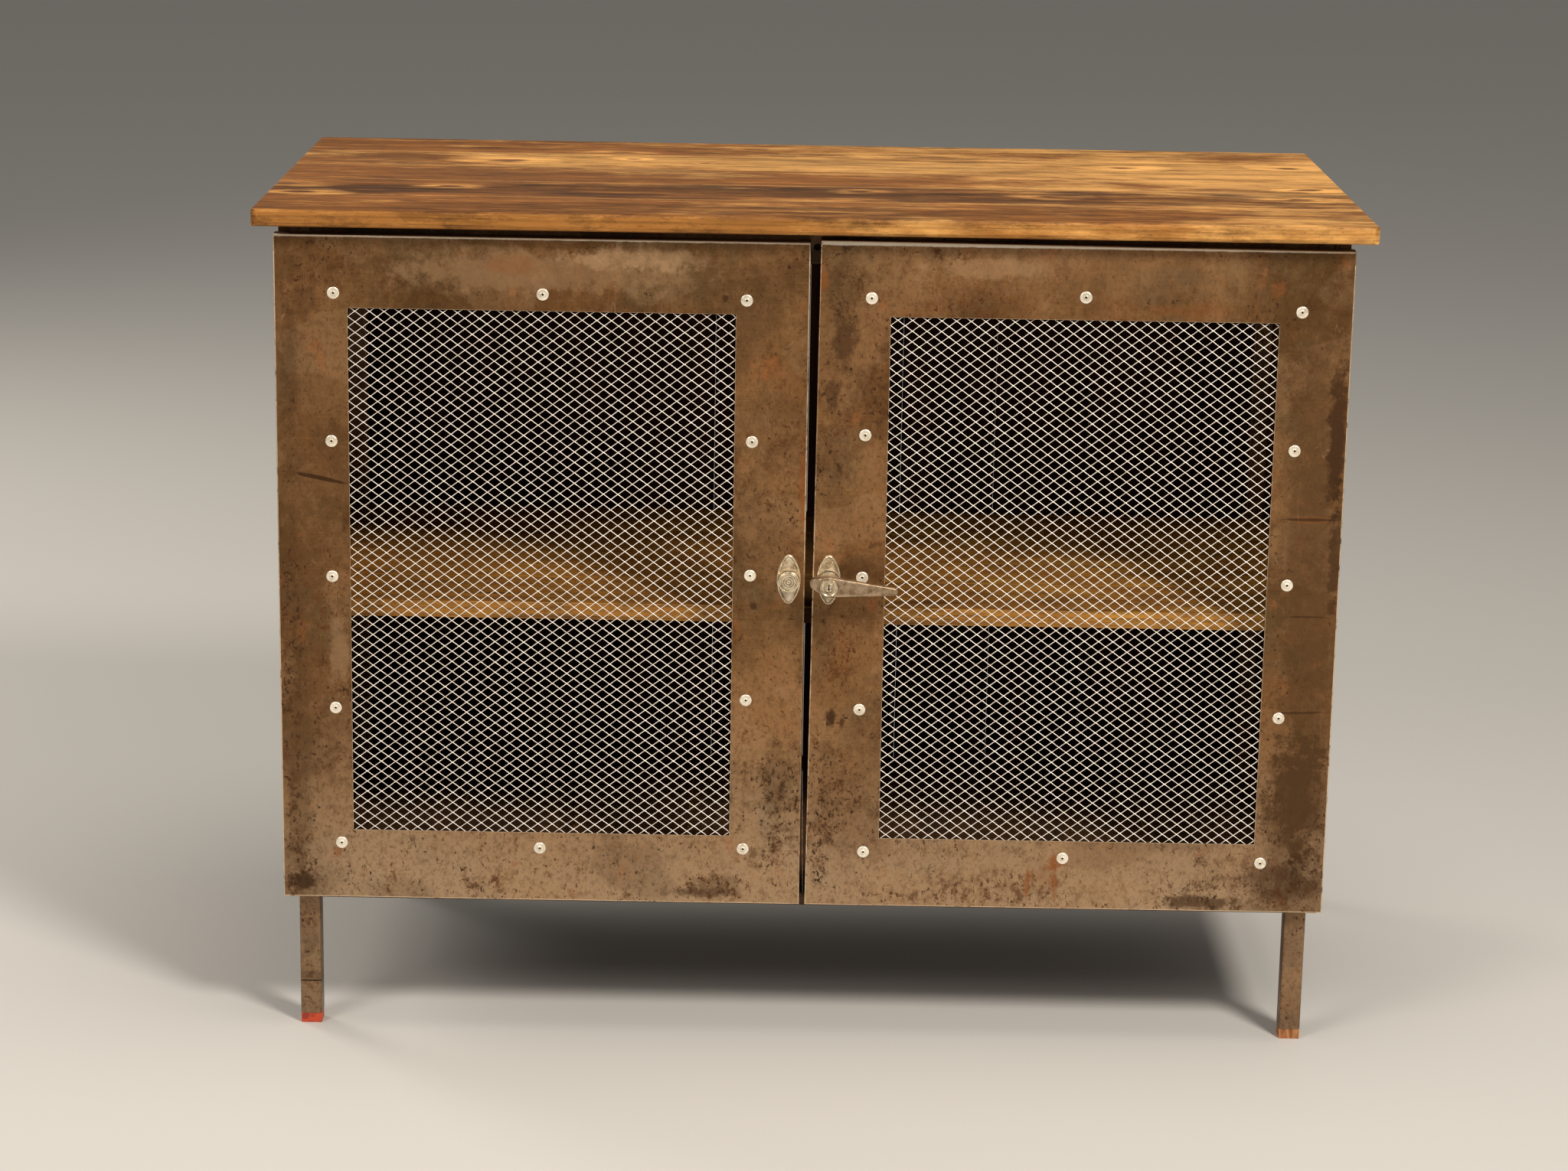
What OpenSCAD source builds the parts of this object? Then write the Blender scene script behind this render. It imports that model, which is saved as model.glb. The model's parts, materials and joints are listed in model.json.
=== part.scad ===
// Metal cabinet: steel carcass on square legs, plank top, shelf, two mesh doors and a lever lock.
// Lengths are in millimetres and angles in degrees. +X is right, +Y is back, +Z is up.

/* [Cabinet] */
// Width across both doors
body_w = 1220; // [900:10:1500]
// Height of the doors' bottom edge above the floor
door_z = 166; // [110:1:250]
// Height of each door
door_h = 784; // [640:2:1000]
// Depth of the carcass, from its front plane to the back of the boards
carcass_d = 578; // [420:2:700]

/* [Top] */
// Thickness of the planks of the top
top_t = 20; // [18:1:40]
// Gap between the doors and the underside of the top
top_gap = 12; // [8:1:20]
// Reach of the top in front of the doors
top_front = 27; // [12:1:45]
// Reach of the top past the doors on each side
top_side = 22; // [12:1:60]
// Reach of the top behind the boards of the back
top_back = 13; // [5:1:40]
// Rounding of the top's long edges
top_arris = 4; // [2:0.5:6]
// Rounding of the top's four corners, seen from above
top_corner = 10; // [7:1:20]

/* [Legs] */
// Width of the square tube of the legs
leg_w = 25; // [20:1:35]
// Wall of the square tube of the legs
leg_wall = 2; // [1.5:0.5:3]
// Distance from the doors' outer edge to the outer face of a leg
leg_inset = 15; // [15:1:20]
// Height of the wooden pad under each leg
pad_h = 12; // [6:1:25]
// Width of the wooden pads
pad_w = 24; // [18:1:28]

/* [Carcass] */
// Thickness of the sheet steel of the doors and sides
sheet_t = 1.5; // [1:0.1:2]
// Distance from the doors' outer edge to the outer face of a side panel
side_inset = 3; // [3:0.5:5]
// Height of the rails under the top
rail_h = 40; // [36:1:60]
// Width of the rails under the top
rail_w = 20; // [16:1:20]
// Wall of the rails
rail_wall = 2; // [1.5:0.5:3]
// Height of the angle bars round the floor
angle_h = 15; // [15:1:30]
// Rise of the angle bars above the doors' bottom edge
angle_rise = 7; // [5:0.5:12]
// Width of the angle bars' flat leg under the floor boards
angle_w = 20; // [15:1:30]
// Thickness of the angle bars and the shelf cleats
angle_t = 2; // [1.5:0.5:3]
// Width of both legs of a shelf cleat
cleat_w = 20; // [15:1:25]
// Radius of the spare hole in the front rail
spare_hole_r = 4; // [2:0.5:5]

/* [Boards] */
// Thickness of the floor boards
floor_t = 12; // [9:1:12]
// Number of floor boards
floor_boards = 8; // [4:1:12]
// Height of the shelf's underside above the floor of the room
shelf_z = 492; // [440:2:520]
// Thickness of the shelf boards
shelf_t = 20; // [15:1:25]
// Distance from the carcass's front plane to the shelf's front edge
shelf_set = 38; // [36:1:80]
// Thickness of the back boards
back_t = 12; // [10:1:18]
// Number of back boards
back_boards = 10; // [6:1:14]
// Width of the groove between two back boards
back_groove = 6; // [2:1:10]

/* [Doors] */
// Depth of the folded door trays
door_d = 20; // [20:1:30]
// Gap between the closed doors and the carcass
door_rest = 2; // [2:0.5:4]
// Gap between the two doors at half height
door_gap = 9; // [7:0.5:14]
// Widening of the gap between the doors from bottom to top
gap_taper = 5.5; // [0:0.5:6]
// Rise of the right door's top edge towards its free corner
right_rise = 3; // [0:0.5:5]
// Width of the steel border round a door's window
border = 83; // [76:1:100]
// Thickness of the expanded mesh
mesh_t = 2; // [1:0.5:3]
// Reach of the mesh behind the border
mesh_lap = 12; // [8:1:16]
// Number of gaps across the mesh as drawn here
mesh_columns = 7; // [4:1:8]
// Number of gaps up the mesh as drawn here
mesh_rows = 14; // [6:1:16]
// Width of the mesh's strands as drawn here
strand_w = 4; // [2:0.5:8]
// Width of the flat bars that clamp the mesh
clamp_w = 26; // [24:1:30]
// Thickness of the flat bars that clamp the mesh
clamp_t = 3; // [2:0.5:5]

/* [Rivets] */
// Radius of a rivet's head
rivet_head_r = 7; // [5:0.5:8]
// Radius of a rivet's shank
rivet_r = 2.4; // [1.6:0.1:3]
// Distance of the rivets outside the window's edge
rivet_out = 17; // [16:1:20]

/* [Hinges] */
// Radius of a hinge barrel
barrel_r = 6; // [5:0.5:6]
// Radius of a hinge pin
pin_r = 3; // [2:0.5:3.5]
// Length of each half of a hinge
barrel_len = 35; // [20:1:50]
// Distance from a door's top or bottom edge to the middle of its hinge
hinge_in = 135; // [100:5:200]
// Thickness of the washer between the halves
washer_t = 1; // [0.5:0.5:2]

/* [Catches] */
// Width of the keeper plate in a door's free top corner
keeper_w = 36; // [26:1:44]
// Radius of a magnet
magnet_r = 6; // [4:0.5:8]

/* [Lock] */
// Height of the lock above the floor
lock_z = 560; // [555:1:600]
// Distance from a door's free edge to the middle of its lock plate
lock_in = 18.5; // [17:0.5:24]
// Width of a lock plate
plate_w = 28; // [26:1:32]
// Height of a lock plate
plate_h = 60; // [54:1:80]
// Thickness of a lock plate
plate_t = 5; // [4:0.5:8]
// Radius of the blank cap's round boss
boss_r = 12.5; // [12:0.5:13]
// Height of the blank cap's boss in front of the left door
cap_h = 16; // [12:1:24]
// Radius of the round neck under the lever
neck_r = 13; // [11:0.5:14]
// Height of the lever's neck in front of the right door
neck_h = 28; // [20:1:40]
// Radius of the lever's round end
lever_r = 11; // [11:0.5:14]
// Reach of the lever from its axis to its tip
lever_len = 79; // [60:1:100]
// Reach of the lever's tail behind its axis
lever_tail = 22; // [15:0.5:24]
// Thickness of the lever
lever_t = 12; // [10:0.5:16]
// Radius of the lock cylinder
cylinder_r = 9.5; // [8:0.5:9.5]
// Height of the lock cylinder in front of the lever
cylinder_proud = 2; // [1:0.5:4]
// Radius of the key plug
plug_r = 6; // [4.5:0.5:6.5]
// Radius of the lever's spindle
spindle_r = 5; // [4:0.5:6]
// Reach of the cam from the spindle's axis
cam_len = 36; // [34:1:42]

/* [Hidden] */
$fn = 64;

// Clearances and cutting margins
run_fit = 0.05;
hole_slack = 0.1;
door_slack = 0.3;
board_slack = 0.5;
cut = 1;

// Colours
wood = "#a8713a";
shelf_wood = "#b98547";
board_wood = "#5d4634";
raw_steel = "#857258";
dark_steel = "#4f463b";
zinc = "#c9c8c2";
bare_cast = "#b9b19f";
rubber_black = "#2a2927";

// Fixed counts of the boards that are nodes of their own
top_planks = 5;
shelf_planks = 4;

// Main planes, measured from the doors' front plane, the middle of the width and the floor
half_w = body_w / 2;
door_top = door_z + door_h;
top_z = door_top + top_gap;
carcass_y = door_d + door_rest;
back_y = carcass_y + carcass_d;
post_back_y = back_y - back_t;
side_x = half_w - side_inset;
leg_out = half_w - leg_inset;
leg_in = leg_out - leg_w;
leg_x = leg_out - leg_w / 2;
front_leg_y = carcass_y + leg_w / 2;
rear_leg_y = post_back_y - leg_w / 2;
bay_y0 = carcass_y + leg_w;
bay_y1 = post_back_y - leg_w;
bay_mid_y = (bay_y0 + bay_y1) / 2;
bay_len = bay_y1 - bay_y0;
rail_z = top_z - rail_h / 2;
angle_top = door_z + angle_rise;
angle_z = angle_top - angle_h;
tube_corner = 2.5;
least_corner = 0.3;

// Top
top_w = body_w + 2 * top_side;
top_d = top_front + back_y + top_back;
top_mid_y = top_d / 2 - top_front;
plank_w = top_d / top_planks;
screw_r = 2.4;
screw_head_r = 4.5;
screw_head_h = 3;
screw_bite = 13;
screw_end_gap = 10;
top_screw_x = [-(leg_out - rail_w / 2), 0, leg_out - rail_w / 2];

// Back
board_pitch = 2 * side_x / back_boards;
back_screw_z = [rail_z, angle_z + angle_h / 2];
back_screw_r = 1.9;
back_screw_head_r = 3.8;
back_screw_head_h = 2.4;
back_screw_bite = 3;

// Front reach is the lever's or the top's, so that the frame's origin lies under the whole box
lever_y = -neck_h;
lever_face_y = lever_y - lever_t;
cylinder_face_y = lever_face_y - cylinder_proud;
front_y = min(cylinder_face_y, -top_front);
frame_y = -(front_y + back_y + top_back) / 2;

// Doors
window_x0 = door_gap / 2 + border;
window_x1 = half_w - border;
window_z0 = door_z + border;
window_z1 = door_top - border;
window_w = window_x1 - window_x0;
window_h = window_z1 - window_z0;
mesh_back_y = sheet_t + mesh_t;
clamp_back_y = mesh_back_y + clamp_t;

// Hand-drilled rivets stray from a regular grid, from the top row down and from the outside in
left_stray = [[1, 0], [1, 2], [-5, -1], [-3, -8], [3, -1], [-4, -4], [3, 5], [-2, 2], [0, 19], [3, 1], [-2, -2], [-1, 1]];
right_stray = [[8, -4], [0, 9], [-5, 4], [7, -1], [-9, 9], [6, 4], [-9, 5], [4, 8], [-9, 10], [-9, -6], [-4, -4], [-1, 0]];
rivet_rows = 5;
rivet_flange_h = 1.2;
rivet_crown_r = 4.2;
rivet_crown_h = 1.9;
rivet_core_r = 1.4;
rivet_core_depth = 3;
rivet_tail_r = 3.8;
rivet_tail_h = 2;

// Hinges
barrel_gap = 1;
hinge_off = barrel_r + barrel_gap;
hinge_x = half_w - hinge_off;
hinge_y = door_d + hinge_off;
hinge_heights = [door_z + hinge_in, door_top - hinge_in];
lug_t = 5;
leaf_t = 3;
leaf_y = 8;
sleeve_lift = washer_t + 0.2;
pin_short = 2;
notch_gap = 3;

// Catches
magnet_x = door_gap / 2 + sheet_t + keeper_w / 2;
magnet_flange = 2;
buffer_r = angle_rise / 2;
buffer_x = [-0.9 * half_w, -0.1 * half_w, 0.1 * half_w, 0.9 * half_w];
spare_hole_x = 3;

// Lock
lock_x = door_gap / 2 + lock_in;
plate_tip_r = 5;
plate_step = 2;
plate_screw_r = 1.9;
plate_screw_head_r = 3.6;
plate_screw_head_h = 2.4;
plate_screw_bite = 3;
plate_screw_dz = plate_h / 2 - 11;
cap_rim = 2;
cap_depth = 3;
cap_proud = 1;
cap_ring_w = 1.2;
cap_ring_depth = 0.8;
tip_r = 4.5;
tip_drop = 5;
tip_back = 2;
tip_front = 3;
pocket_floor = 2;
plug_floor = 2;
keyway_w = 1.6;
keyway_h = 7;
keyway_depth = 5;
cam_gap = 1;
cam_t = 3;
cam_w = 14;
cam_hub_r = 9;
cam_y0 = door_d + cam_gap;
cam_y1 = cam_y0 + cam_t;
cam_screw_r = 2;
cam_screw_head_r = 7;
cam_screw_head_h = 3;
cam_screw_bite = 10;

// Shape helpers
module framed() {
    translate([0, frame_y, 0]) children();
}

module on_side(side) {
    if (side < 0)
        mirror([1, 0, 0]) children();
    else
        children();
}

// Turns a flat shape drawn in X and Z into a plate from y0 to y1
module plate_y(y0, y1) {
    translate([0, y1, 0])
        rotate([90, 0, 0])
            linear_extrude(y1 - y0) children();
}

module rod_y(r, y0, y1) {
    translate([0, y1, 0])
        rotate([90, 0, 0])
            cylinder(r = r, h = y1 - y0);
}

module rounded_rect(size, r) {
    square([size.x - 2 * r, size.y], center = true);
    square([size.x, size.y - 2 * r], center = true);
    for (sx = [-1, 1], sy = [-1, 1])
        translate([sx * (size.x / 2 - r), sy * (size.y / 2 - r)]) circle(r);
}

module tube_section(size, wall) {
    difference() {
        rounded_rect(size, tube_corner);
        rounded_rect(size - [2 * wall, 2 * wall], max(tube_corner - wall, least_corner));
    }
}

module tube_along_x(size, wall, length) {
    rotate([90, 0, 90])
        linear_extrude(length, center = true) tube_section(size, wall);
}

module tube_along_y(size, wall, length) {
    rotate([90, 0, 0])
        linear_extrude(length, center = true) tube_section(size, wall);
}

// Plank top
function screw_y(i) = min(max((i - 0.5) * plank_w - top_front, bay_y0 + screw_end_gap), bay_y1 - screw_end_gap);

module top_blank() {
    intersection() {
        linear_extrude(top_t) rounded_rect([top_w, top_d], top_corner);
        translate([0, 0, top_t / 2])
            rotate([90, 0, 90])
                linear_extrude(top_w, center = true) rounded_rect([top_d, top_t], top_arris);
        translate([0, 0, top_t / 2])
            rotate([90, 0, 0])
                linear_extrude(top_d, center = true) rounded_rect([top_w, top_t], top_arris);
    }
}

module top_plank(i) {
    color(wood) framed() difference() {
        intersection() {
            translate([0, top_mid_y, top_z]) top_blank();
            translate([-top_w / 2 - cut, (i - 1) * plank_w - top_front, top_z - cut])
                cube([top_w + 2 * cut, plank_w, top_t + 2 * cut]);
        }
        for (x = top_screw_x)
            translate([x, screw_y(i), top_z - cut])
                cylinder(r = screw_r + hole_slack, h = cut + screw_bite + hole_slack);
    }
}

module top_screws() {
    color(zinc) framed()
        for (i = [1 : top_planks], x = top_screw_x)
            translate([x, screw_y(i), top_z - rail_h]) {
                translate([0, 0, -screw_head_h]) cylinder(r = screw_head_r, h = screw_head_h);
                cylinder(r = screw_r, h = rail_h + screw_bite);
            }
}

// Legs and pads
module leg(side, y) {
    color(raw_steel) framed()
        translate([side * leg_x, y, pad_h])
            linear_extrude(top_z - pad_h) tube_section([leg_w, leg_w], leg_wall);
}

module pad(side, y) {
    color(wood) framed()
        translate([side * leg_x, y, 0])
            linear_extrude(pad_h) rounded_rect([pad_w, pad_w], least_corner);
}

// Carcass
module side_panel(side) {
    color(raw_steel) framed() on_side(side) difference() {
        translate([0, 0, angle_z])
            linear_extrude(top_z - angle_z)
                difference() {
                    translate([leg_out, carcass_y]) square([side_x - leg_out, post_back_y - carcass_y]);
                    translate([leg_out - cut, carcass_y + sheet_t])
                        square([side_x - leg_out + cut - sheet_t, post_back_y - carcass_y - 2 * sheet_t]);
                }
        for (z = hinge_heights)
            translate([leg_out - cut, carcass_y - cut, z - barrel_len - notch_gap])
                cube([
                    side_x - leg_out + 2 * cut,
                    hinge_y + barrel_r + notch_gap - carcass_y + cut,
                    2 * (barrel_len + notch_gap) + sleeve_lift
                ]);
    }
}

module rail_front() {
    color(dark_steel) framed() difference() {
        translate([0, carcass_y + rail_w / 2, rail_z])
            tube_along_x([rail_w, rail_h], rail_wall, 2 * leg_in);
        for (side = [-1, 1])
            translate([side * magnet_x, 0, rail_z])
                rod_y(magnet_r + hole_slack, carcass_y - cut, carcass_y + rail_wall + cut);
        translate([spare_hole_x, 0, rail_z])
            rod_y(spare_hole_r, carcass_y - cut, carcass_y + rail_wall + cut);
    }
}

module rail_rear() {
    color(dark_steel) framed() difference() {
        translate([0, post_back_y - rail_w / 2, rail_z])
            tube_along_x([rail_w, rail_h], rail_wall, 2 * leg_in);
        for (i = [1 : back_boards])
            translate([board_mid(i), 0, rail_z])
                rod_y(back_screw_r + hole_slack, post_back_y - rail_wall - cut, post_back_y + cut);
    }
}

module rail_across(x, y0, y1) {
    color(dark_steel) framed() difference() {
        translate([x, (y0 + y1) / 2, rail_z])
            tube_along_y([rail_w, rail_h], rail_wall, y1 - y0);
        for (i = [1 : top_planks])
            translate([x, screw_y(i), top_z - rail_h - cut])
                cylinder(r = screw_r + hole_slack, h = rail_h + 2 * cut);
    }
}

// Angle bars round the floor: a low upright leg outside and a flat leg inward
module bar_along_x(y, inward) {
    width = 2 * leg_in;
    translate([-leg_in, min(y, y + inward * angle_t), angle_z]) cube([width, angle_t, angle_h]);
    translate([-leg_in, min(y, y + inward * angle_w), angle_z]) cube([width, angle_w, angle_t]);
}

module bar_along_y(side) {
    on_side(side) {
        translate([leg_out - angle_t, bay_y0, angle_z]) cube([angle_t, bay_len, angle_h]);
        translate([leg_in, bay_y0, angle_z]) cube([leg_w, bay_len, angle_t]);
    }
}

module floor_frame() {
    color(dark_steel) framed() difference() {
        union() {
            bar_along_x(carcass_y, 1);
            bar_along_x(post_back_y, -1);
            bar_along_y(-1);
            bar_along_y(1);
        }
        for (i = [1 : back_boards])
            translate([board_mid(i), 0, back_screw_z[1]])
                rod_y(back_screw_r + hole_slack, post_back_y - angle_t - cut, post_back_y + cut);
    }
}

module floor_boards() {
    y0 = carcass_y + angle_t + back_screw_bite + board_slack;
    y1 = post_back_y - angle_t - back_screw_bite - board_slack;
    pitch = 2 * (leg_in - board_slack) / floor_boards;
    color(board_wood) framed()
        for (i = [1 : floor_boards])
            translate([-leg_in + board_slack + (i - 1) * pitch, y0, angle_z + angle_t])
                cube([pitch - board_slack, y1 - y0, floor_t]);
}

module shelf_cleat(side) {
    color(dark_steel) framed() on_side(side) {
        translate([leg_out - angle_t, bay_y0, shelf_z - cleat_w]) cube([angle_t, bay_len, cleat_w]);
        translate([leg_out - cleat_w, bay_y0, shelf_z - angle_t]) cube([cleat_w, bay_len, angle_t]);
    }
}

module shelf_board(i) {
    y0 = carcass_y + shelf_set;
    width = (bay_y1 - board_slack - y0) / shelf_planks;
    half = side_x - sheet_t - board_slack;
    color(shelf_wood) framed()
        translate([-half, y0 + (i - 1) * width, shelf_z]) cube([2 * half, width, shelf_t]);
}

// Back boards, each with a thin lap behind the groove beside it
function board_mid(i) = -side_x + (i - 0.5) * board_pitch - back_groove / 2;

module back_boards() {
    color(board_wood) framed() difference() {
        for (i = [1 : back_boards]) {
            x0 = -side_x + (i - 1) * board_pitch;
            face_w = i == back_boards ? board_pitch : board_pitch - back_groove;
            lap_w = i == back_boards ? board_pitch : board_pitch - board_slack;
            translate([x0, 0, angle_z]) {
                translate([0, post_back_y, 0]) cube([face_w, back_t, top_z - angle_z]);
                translate([0, back_y - back_t / 2, 0]) cube([lap_w, back_t / 2, top_z - angle_z]);
            }
        }
        for (i = [1 : back_boards], z = back_screw_z)
            translate([board_mid(i), 0, z])
                rod_y(back_screw_r + hole_slack, post_back_y - cut, back_y + cut);
    }
}

module back_screws() {
    color(zinc) framed()
        for (i = [1 : back_boards], z = back_screw_z)
            translate([board_mid(i), 0, z]) {
                rod_y(back_screw_r, post_back_y - back_screw_bite, back_y);
                rod_y(back_screw_head_r, back_y, back_y + back_screw_head_h);
            }
}

// Magnets in the front rail and soft buffers on the front angle bar
module magnet_catches() {
    color(zinc) framed()
        for (side = [-1, 1])
            translate([side * magnet_x, 0, rail_z]) {
                rod_y(magnet_r, door_d + door_slack, carcass_y + rail_wall);
                rod_y(magnet_r + magnet_flange, carcass_y + rail_wall, carcass_y + rail_wall + magnet_flange);
            }
}

module door_buffers() {
    color(rubber_black) framed()
        for (x = buffer_x)
            translate([x, 0, door_z + buffer_r]) rod_y(buffer_r, door_d + door_slack, carcass_y);
}

// Hinges: the lower half is welded to the leg and holds the pin, the upper half to the door
module at_hinges(side) {
    on_side(side)
        for (z = hinge_heights)
            translate([hinge_x, hinge_y, z]) children();
}

module hinge_bases(side) {
    color(dark_steel) framed() at_hinges(side) difference() {
        union() {
            translate([0, 0, -barrel_len]) cylinder(r = barrel_r, h = barrel_len);
            translate([leg_out - hinge_x, -lug_t / 2, -barrel_len])
                cube([hinge_x - leg_out, lug_t, barrel_len]);
        }
        translate([0, 0, -barrel_len - cut]) cylinder(r = pin_r + run_fit, h = barrel_len + 2 * cut);
    }
}

module hinge_sleeves(side) {
    color(dark_steel) framed() at_hinges(side) translate([0, 0, sleeve_lift]) difference() {
        union() {
            cylinder(r = barrel_r, h = barrel_len);
            translate([half_w - sheet_t - leaf_t - hinge_x, leaf_y - hinge_y, 0])
                cube([leaf_t, hinge_y - leaf_y, barrel_len]);
        }
        translate([0, 0, -cut]) cylinder(r = pin_r + run_fit, h = barrel_len + 2 * cut);
    }
}

module hinge_pins() {
    color(zinc) framed()
        for (side = [-1, 1])
            at_hinges(side)
                translate([0, 0, -barrel_len]) cylinder(r = pin_r, h = 2 * barrel_len + sleeve_lift - pin_short);
}

module hinge_washers() {
    color(zinc) framed()
        for (side = [-1, 1])
            at_hinges(side) difference() {
                cylinder(r = barrel_r, h = washer_t);
                translate([0, 0, -cut]) cylinder(r = pin_r + hole_slack, h = washer_t + 2 * cut);
            }
}

// Door outline, narrowed by inset. The right door's free edge leans and its free top corner is raised
function free_top(side) = door_gap / 2 + (side > 0 ? gap_taper / 2 : 0);
function free_bottom(side) = door_gap / 2 - (side > 0 ? gap_taper / 2 : 0);
function door_corners(side, inset) = [
    [side * (half_w - inset), door_z + inset],
    [side * (half_w - inset), door_top - inset],
    [side * (free_top(side) + inset), door_top - inset + (side > 0 ? right_rise : 0)],
    [side * (free_bottom(side) + inset), door_z + inset]
];

// Rivet places on a regular grid round the window, plus each rivet's own stray
function stray(side) = side < 0 ? left_stray : right_stray;
function rivet_grid(side) = [
    for (row = [0 : rivet_rows - 1], column = [1, 0, -1])
        if (column != 0 || row == 0 || row == rivet_rows - 1)
            [
                side * ((window_x0 + window_x1) / 2 + column * (window_w / 2 + rivet_out)),
                window_z1 + rivet_out - row * (window_h + 2 * rivet_out) / (rivet_rows - 1)
            ]
];
function rivet_places(side) = [for (i = [0 : len(rivet_grid(side)) - 1]) rivet_grid(side)[i] + stray(side)[i]];

module at_rivets(side) {
    for (place = rivet_places(side))
        translate([place.x, 0, place.y]) children();
}

module at_plate_screws(side) {
    for (dz = [-plate_screw_dz, plate_screw_dz])
        translate([side * lock_x, 0, lock_z + dz]) children();
}

module door_tray(side) {
    color(raw_steel) framed() difference() {
        plate_y(0, door_d) polygon(door_corners(side, 0));
        plate_y(sheet_t, door_d + cut) polygon(door_corners(side, sheet_t));
        plate_y(-cut, sheet_t + cut)
            translate([side * (window_x0 + window_x1) / 2, (window_z0 + window_z1) / 2])
                square([window_w, window_h], center = true);
        at_rivets(side) rod_y(rivet_r + hole_slack, -cut, sheet_t + cut);
        at_plate_screws(side) rod_y(plate_screw_r + hole_slack, -cut, sheet_t + cut);
        if (side > 0)
            translate([lock_x, 0, lock_z]) rod_y(spindle_r + cut, -cut, sheet_t + cut);
    }
}

// One gap of the mesh: a rhombus whose edges lie half a strand inside its cell
module mesh_gap(half_x, half_z) {
    edge_distance = half_x * half_z / sqrt(half_x * half_x + half_z * half_z);
    shrink = 1 - strand_w / 2 / edge_distance;
    polygon([[half_x * shrink, 0], [0, half_z * shrink], [-half_x * shrink, 0], [0, -half_z * shrink]]);
}

module door_mesh(side) {
    cell_x = window_w / mesh_columns;
    cell_z = window_h / mesh_rows;
    color(zinc) framed() difference() {
        plate_y(sheet_t, mesh_back_y)
            translate([side * (window_x0 + window_x1) / 2, (window_z0 + window_z1) / 2])
                difference() {
                    square([window_w + 2 * mesh_lap, window_h + 2 * mesh_lap], center = true);
                    for (stagger = [0, 1])
                        for (i = [1 : mesh_columns - stagger], j = [1 : mesh_rows - stagger])
                            translate([
                                (i - (mesh_columns + 1 - stagger) / 2) * cell_x,
                                (j - (mesh_rows + 1 - stagger) / 2) * cell_z
                            ]) mesh_gap(cell_x / 2, cell_z / 2);
                }
        at_rivets(side) rod_y(rivet_r + hole_slack, 0, mesh_back_y + cut);
    }
}

module mesh_clamps(side) {
    outer_w = window_w + 2 * rivet_out;
    outer_h = window_h + 2 * rivet_out;
    color(dark_steel) framed() difference() {
        plate_y(mesh_back_y, clamp_back_y)
            translate([side * (window_x0 + window_x1) / 2, (window_z0 + window_z1) / 2])
                for (end = [-1, 1]) {
                    translate([end * outer_w / 2, 0]) square([clamp_w, outer_h + clamp_w], center = true);
                    translate([0, end * outer_h / 2])
                        square([outer_w - clamp_w - board_slack, clamp_w], center = true);
                }
        at_rivets(side) rod_y(rivet_r + hole_slack, mesh_back_y - cut, clamp_back_y + cut);
    }
}

// A blind rivet turned about its axis: broad head with a crown and a hollow core, shank and spread tail
module rivet() {
    rotate([90, 0, 0])
        rotate_extrude()
            polygon([
                [0, -clamp_back_y - rivet_tail_h],
                [rivet_tail_r, -clamp_back_y - rivet_tail_h],
                [rivet_tail_r, -clamp_back_y],
                [rivet_r, -clamp_back_y],
                [rivet_r, 0],
                [rivet_head_r, 0],
                [rivet_head_r, rivet_flange_h / 2],
                [rivet_crown_r, rivet_flange_h],
                [rivet_crown_r, rivet_crown_h],
                [rivet_core_r, rivet_crown_h],
                [rivet_core_r, -rivet_core_depth],
                [0, -rivet_core_depth]
            ]);
}

module rivets(side) {
    color(zinc) framed() at_rivets(side) rivet();
}

module keeper(side) {
    color(dark_steel) framed()
        plate_y(door_d - sheet_t, door_d)
            intersection() {
                polygon(door_corners(side, sheet_t));
                translate(door_corners(side, sheet_t)[2]) square(2 * keeper_w, center = true);
            }
}

// Lock plates: an oval of two wide arcs that meet in rounded tips
module oval(width, height, tip) {
    tip_z = height / 2 - tip;
    arc_r = (width * width / 4 + tip_z * tip_z - tip * tip) / (width - 2 * tip);
    meet_z = tip_z * arc_r / (arc_r - tip);
    intersection() {
        translate([arc_r - width / 2, 0]) circle(arc_r, $fn = 128);
        translate([width / 2 - arc_r, 0]) circle(arc_r, $fn = 128);
        square([width + cut, 2 * meet_z], center = true);
    }
    for (end = [-1, 1])
        translate([0, end * tip_z]) circle(tip);
}

module plate_blank(side) {
    translate([side * lock_x, 0, lock_z]) {
        plate_y(-plate_t + plate_step, 0) oval(plate_w, plate_h, plate_tip_r);
        plate_y(-plate_t, 0) oval(plate_w - 2 * plate_step, plate_h - 2 * plate_step, plate_tip_r - plate_step);
    }
}

module left_lock_plate() {
    color(bare_cast) framed() difference() {
        union() {
            plate_blank(-1);
            translate([-lock_x, 0, lock_z]) rod_y(boss_r, -cap_h, 0);
        }
        translate([-lock_x, 0, lock_z]) rod_y(boss_r - cap_rim, -cap_h - cut, -cap_h + cap_depth);
        at_plate_screws(-1) rod_y(plate_screw_r + hole_slack, -plate_screw_bite, cut);
    }
}

module left_blank_cap() {
    ring_r = (boss_r - cap_rim) * 0.7;
    color(bare_cast) framed() translate([-lock_x, 0, lock_z]) difference() {
        rod_y(boss_r - cap_rim - hole_slack, -cap_h - cap_proud, -cap_h + cap_depth);
        difference() {
            rod_y(ring_r, -cap_h - cap_proud - cut, -cap_h - cap_proud + cap_ring_depth);
            rod_y(ring_r - cap_ring_w, -cap_h - cap_proud - 2 * cut, -cap_h);
        }
    }
}

module right_lock_plate() {
    color(bare_cast) framed() difference() {
        union() {
            plate_blank(1);
            translate([lock_x, 0, lock_z]) rod_y(neck_r, lever_y + door_slack, 0);
        }
        translate([lock_x, 0, lock_z]) rod_y(spindle_r + run_fit, lever_y - cut, cut);
        at_plate_screws(1) rod_y(plate_screw_r + hole_slack, -plate_screw_bite, cut);
    }
}

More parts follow.
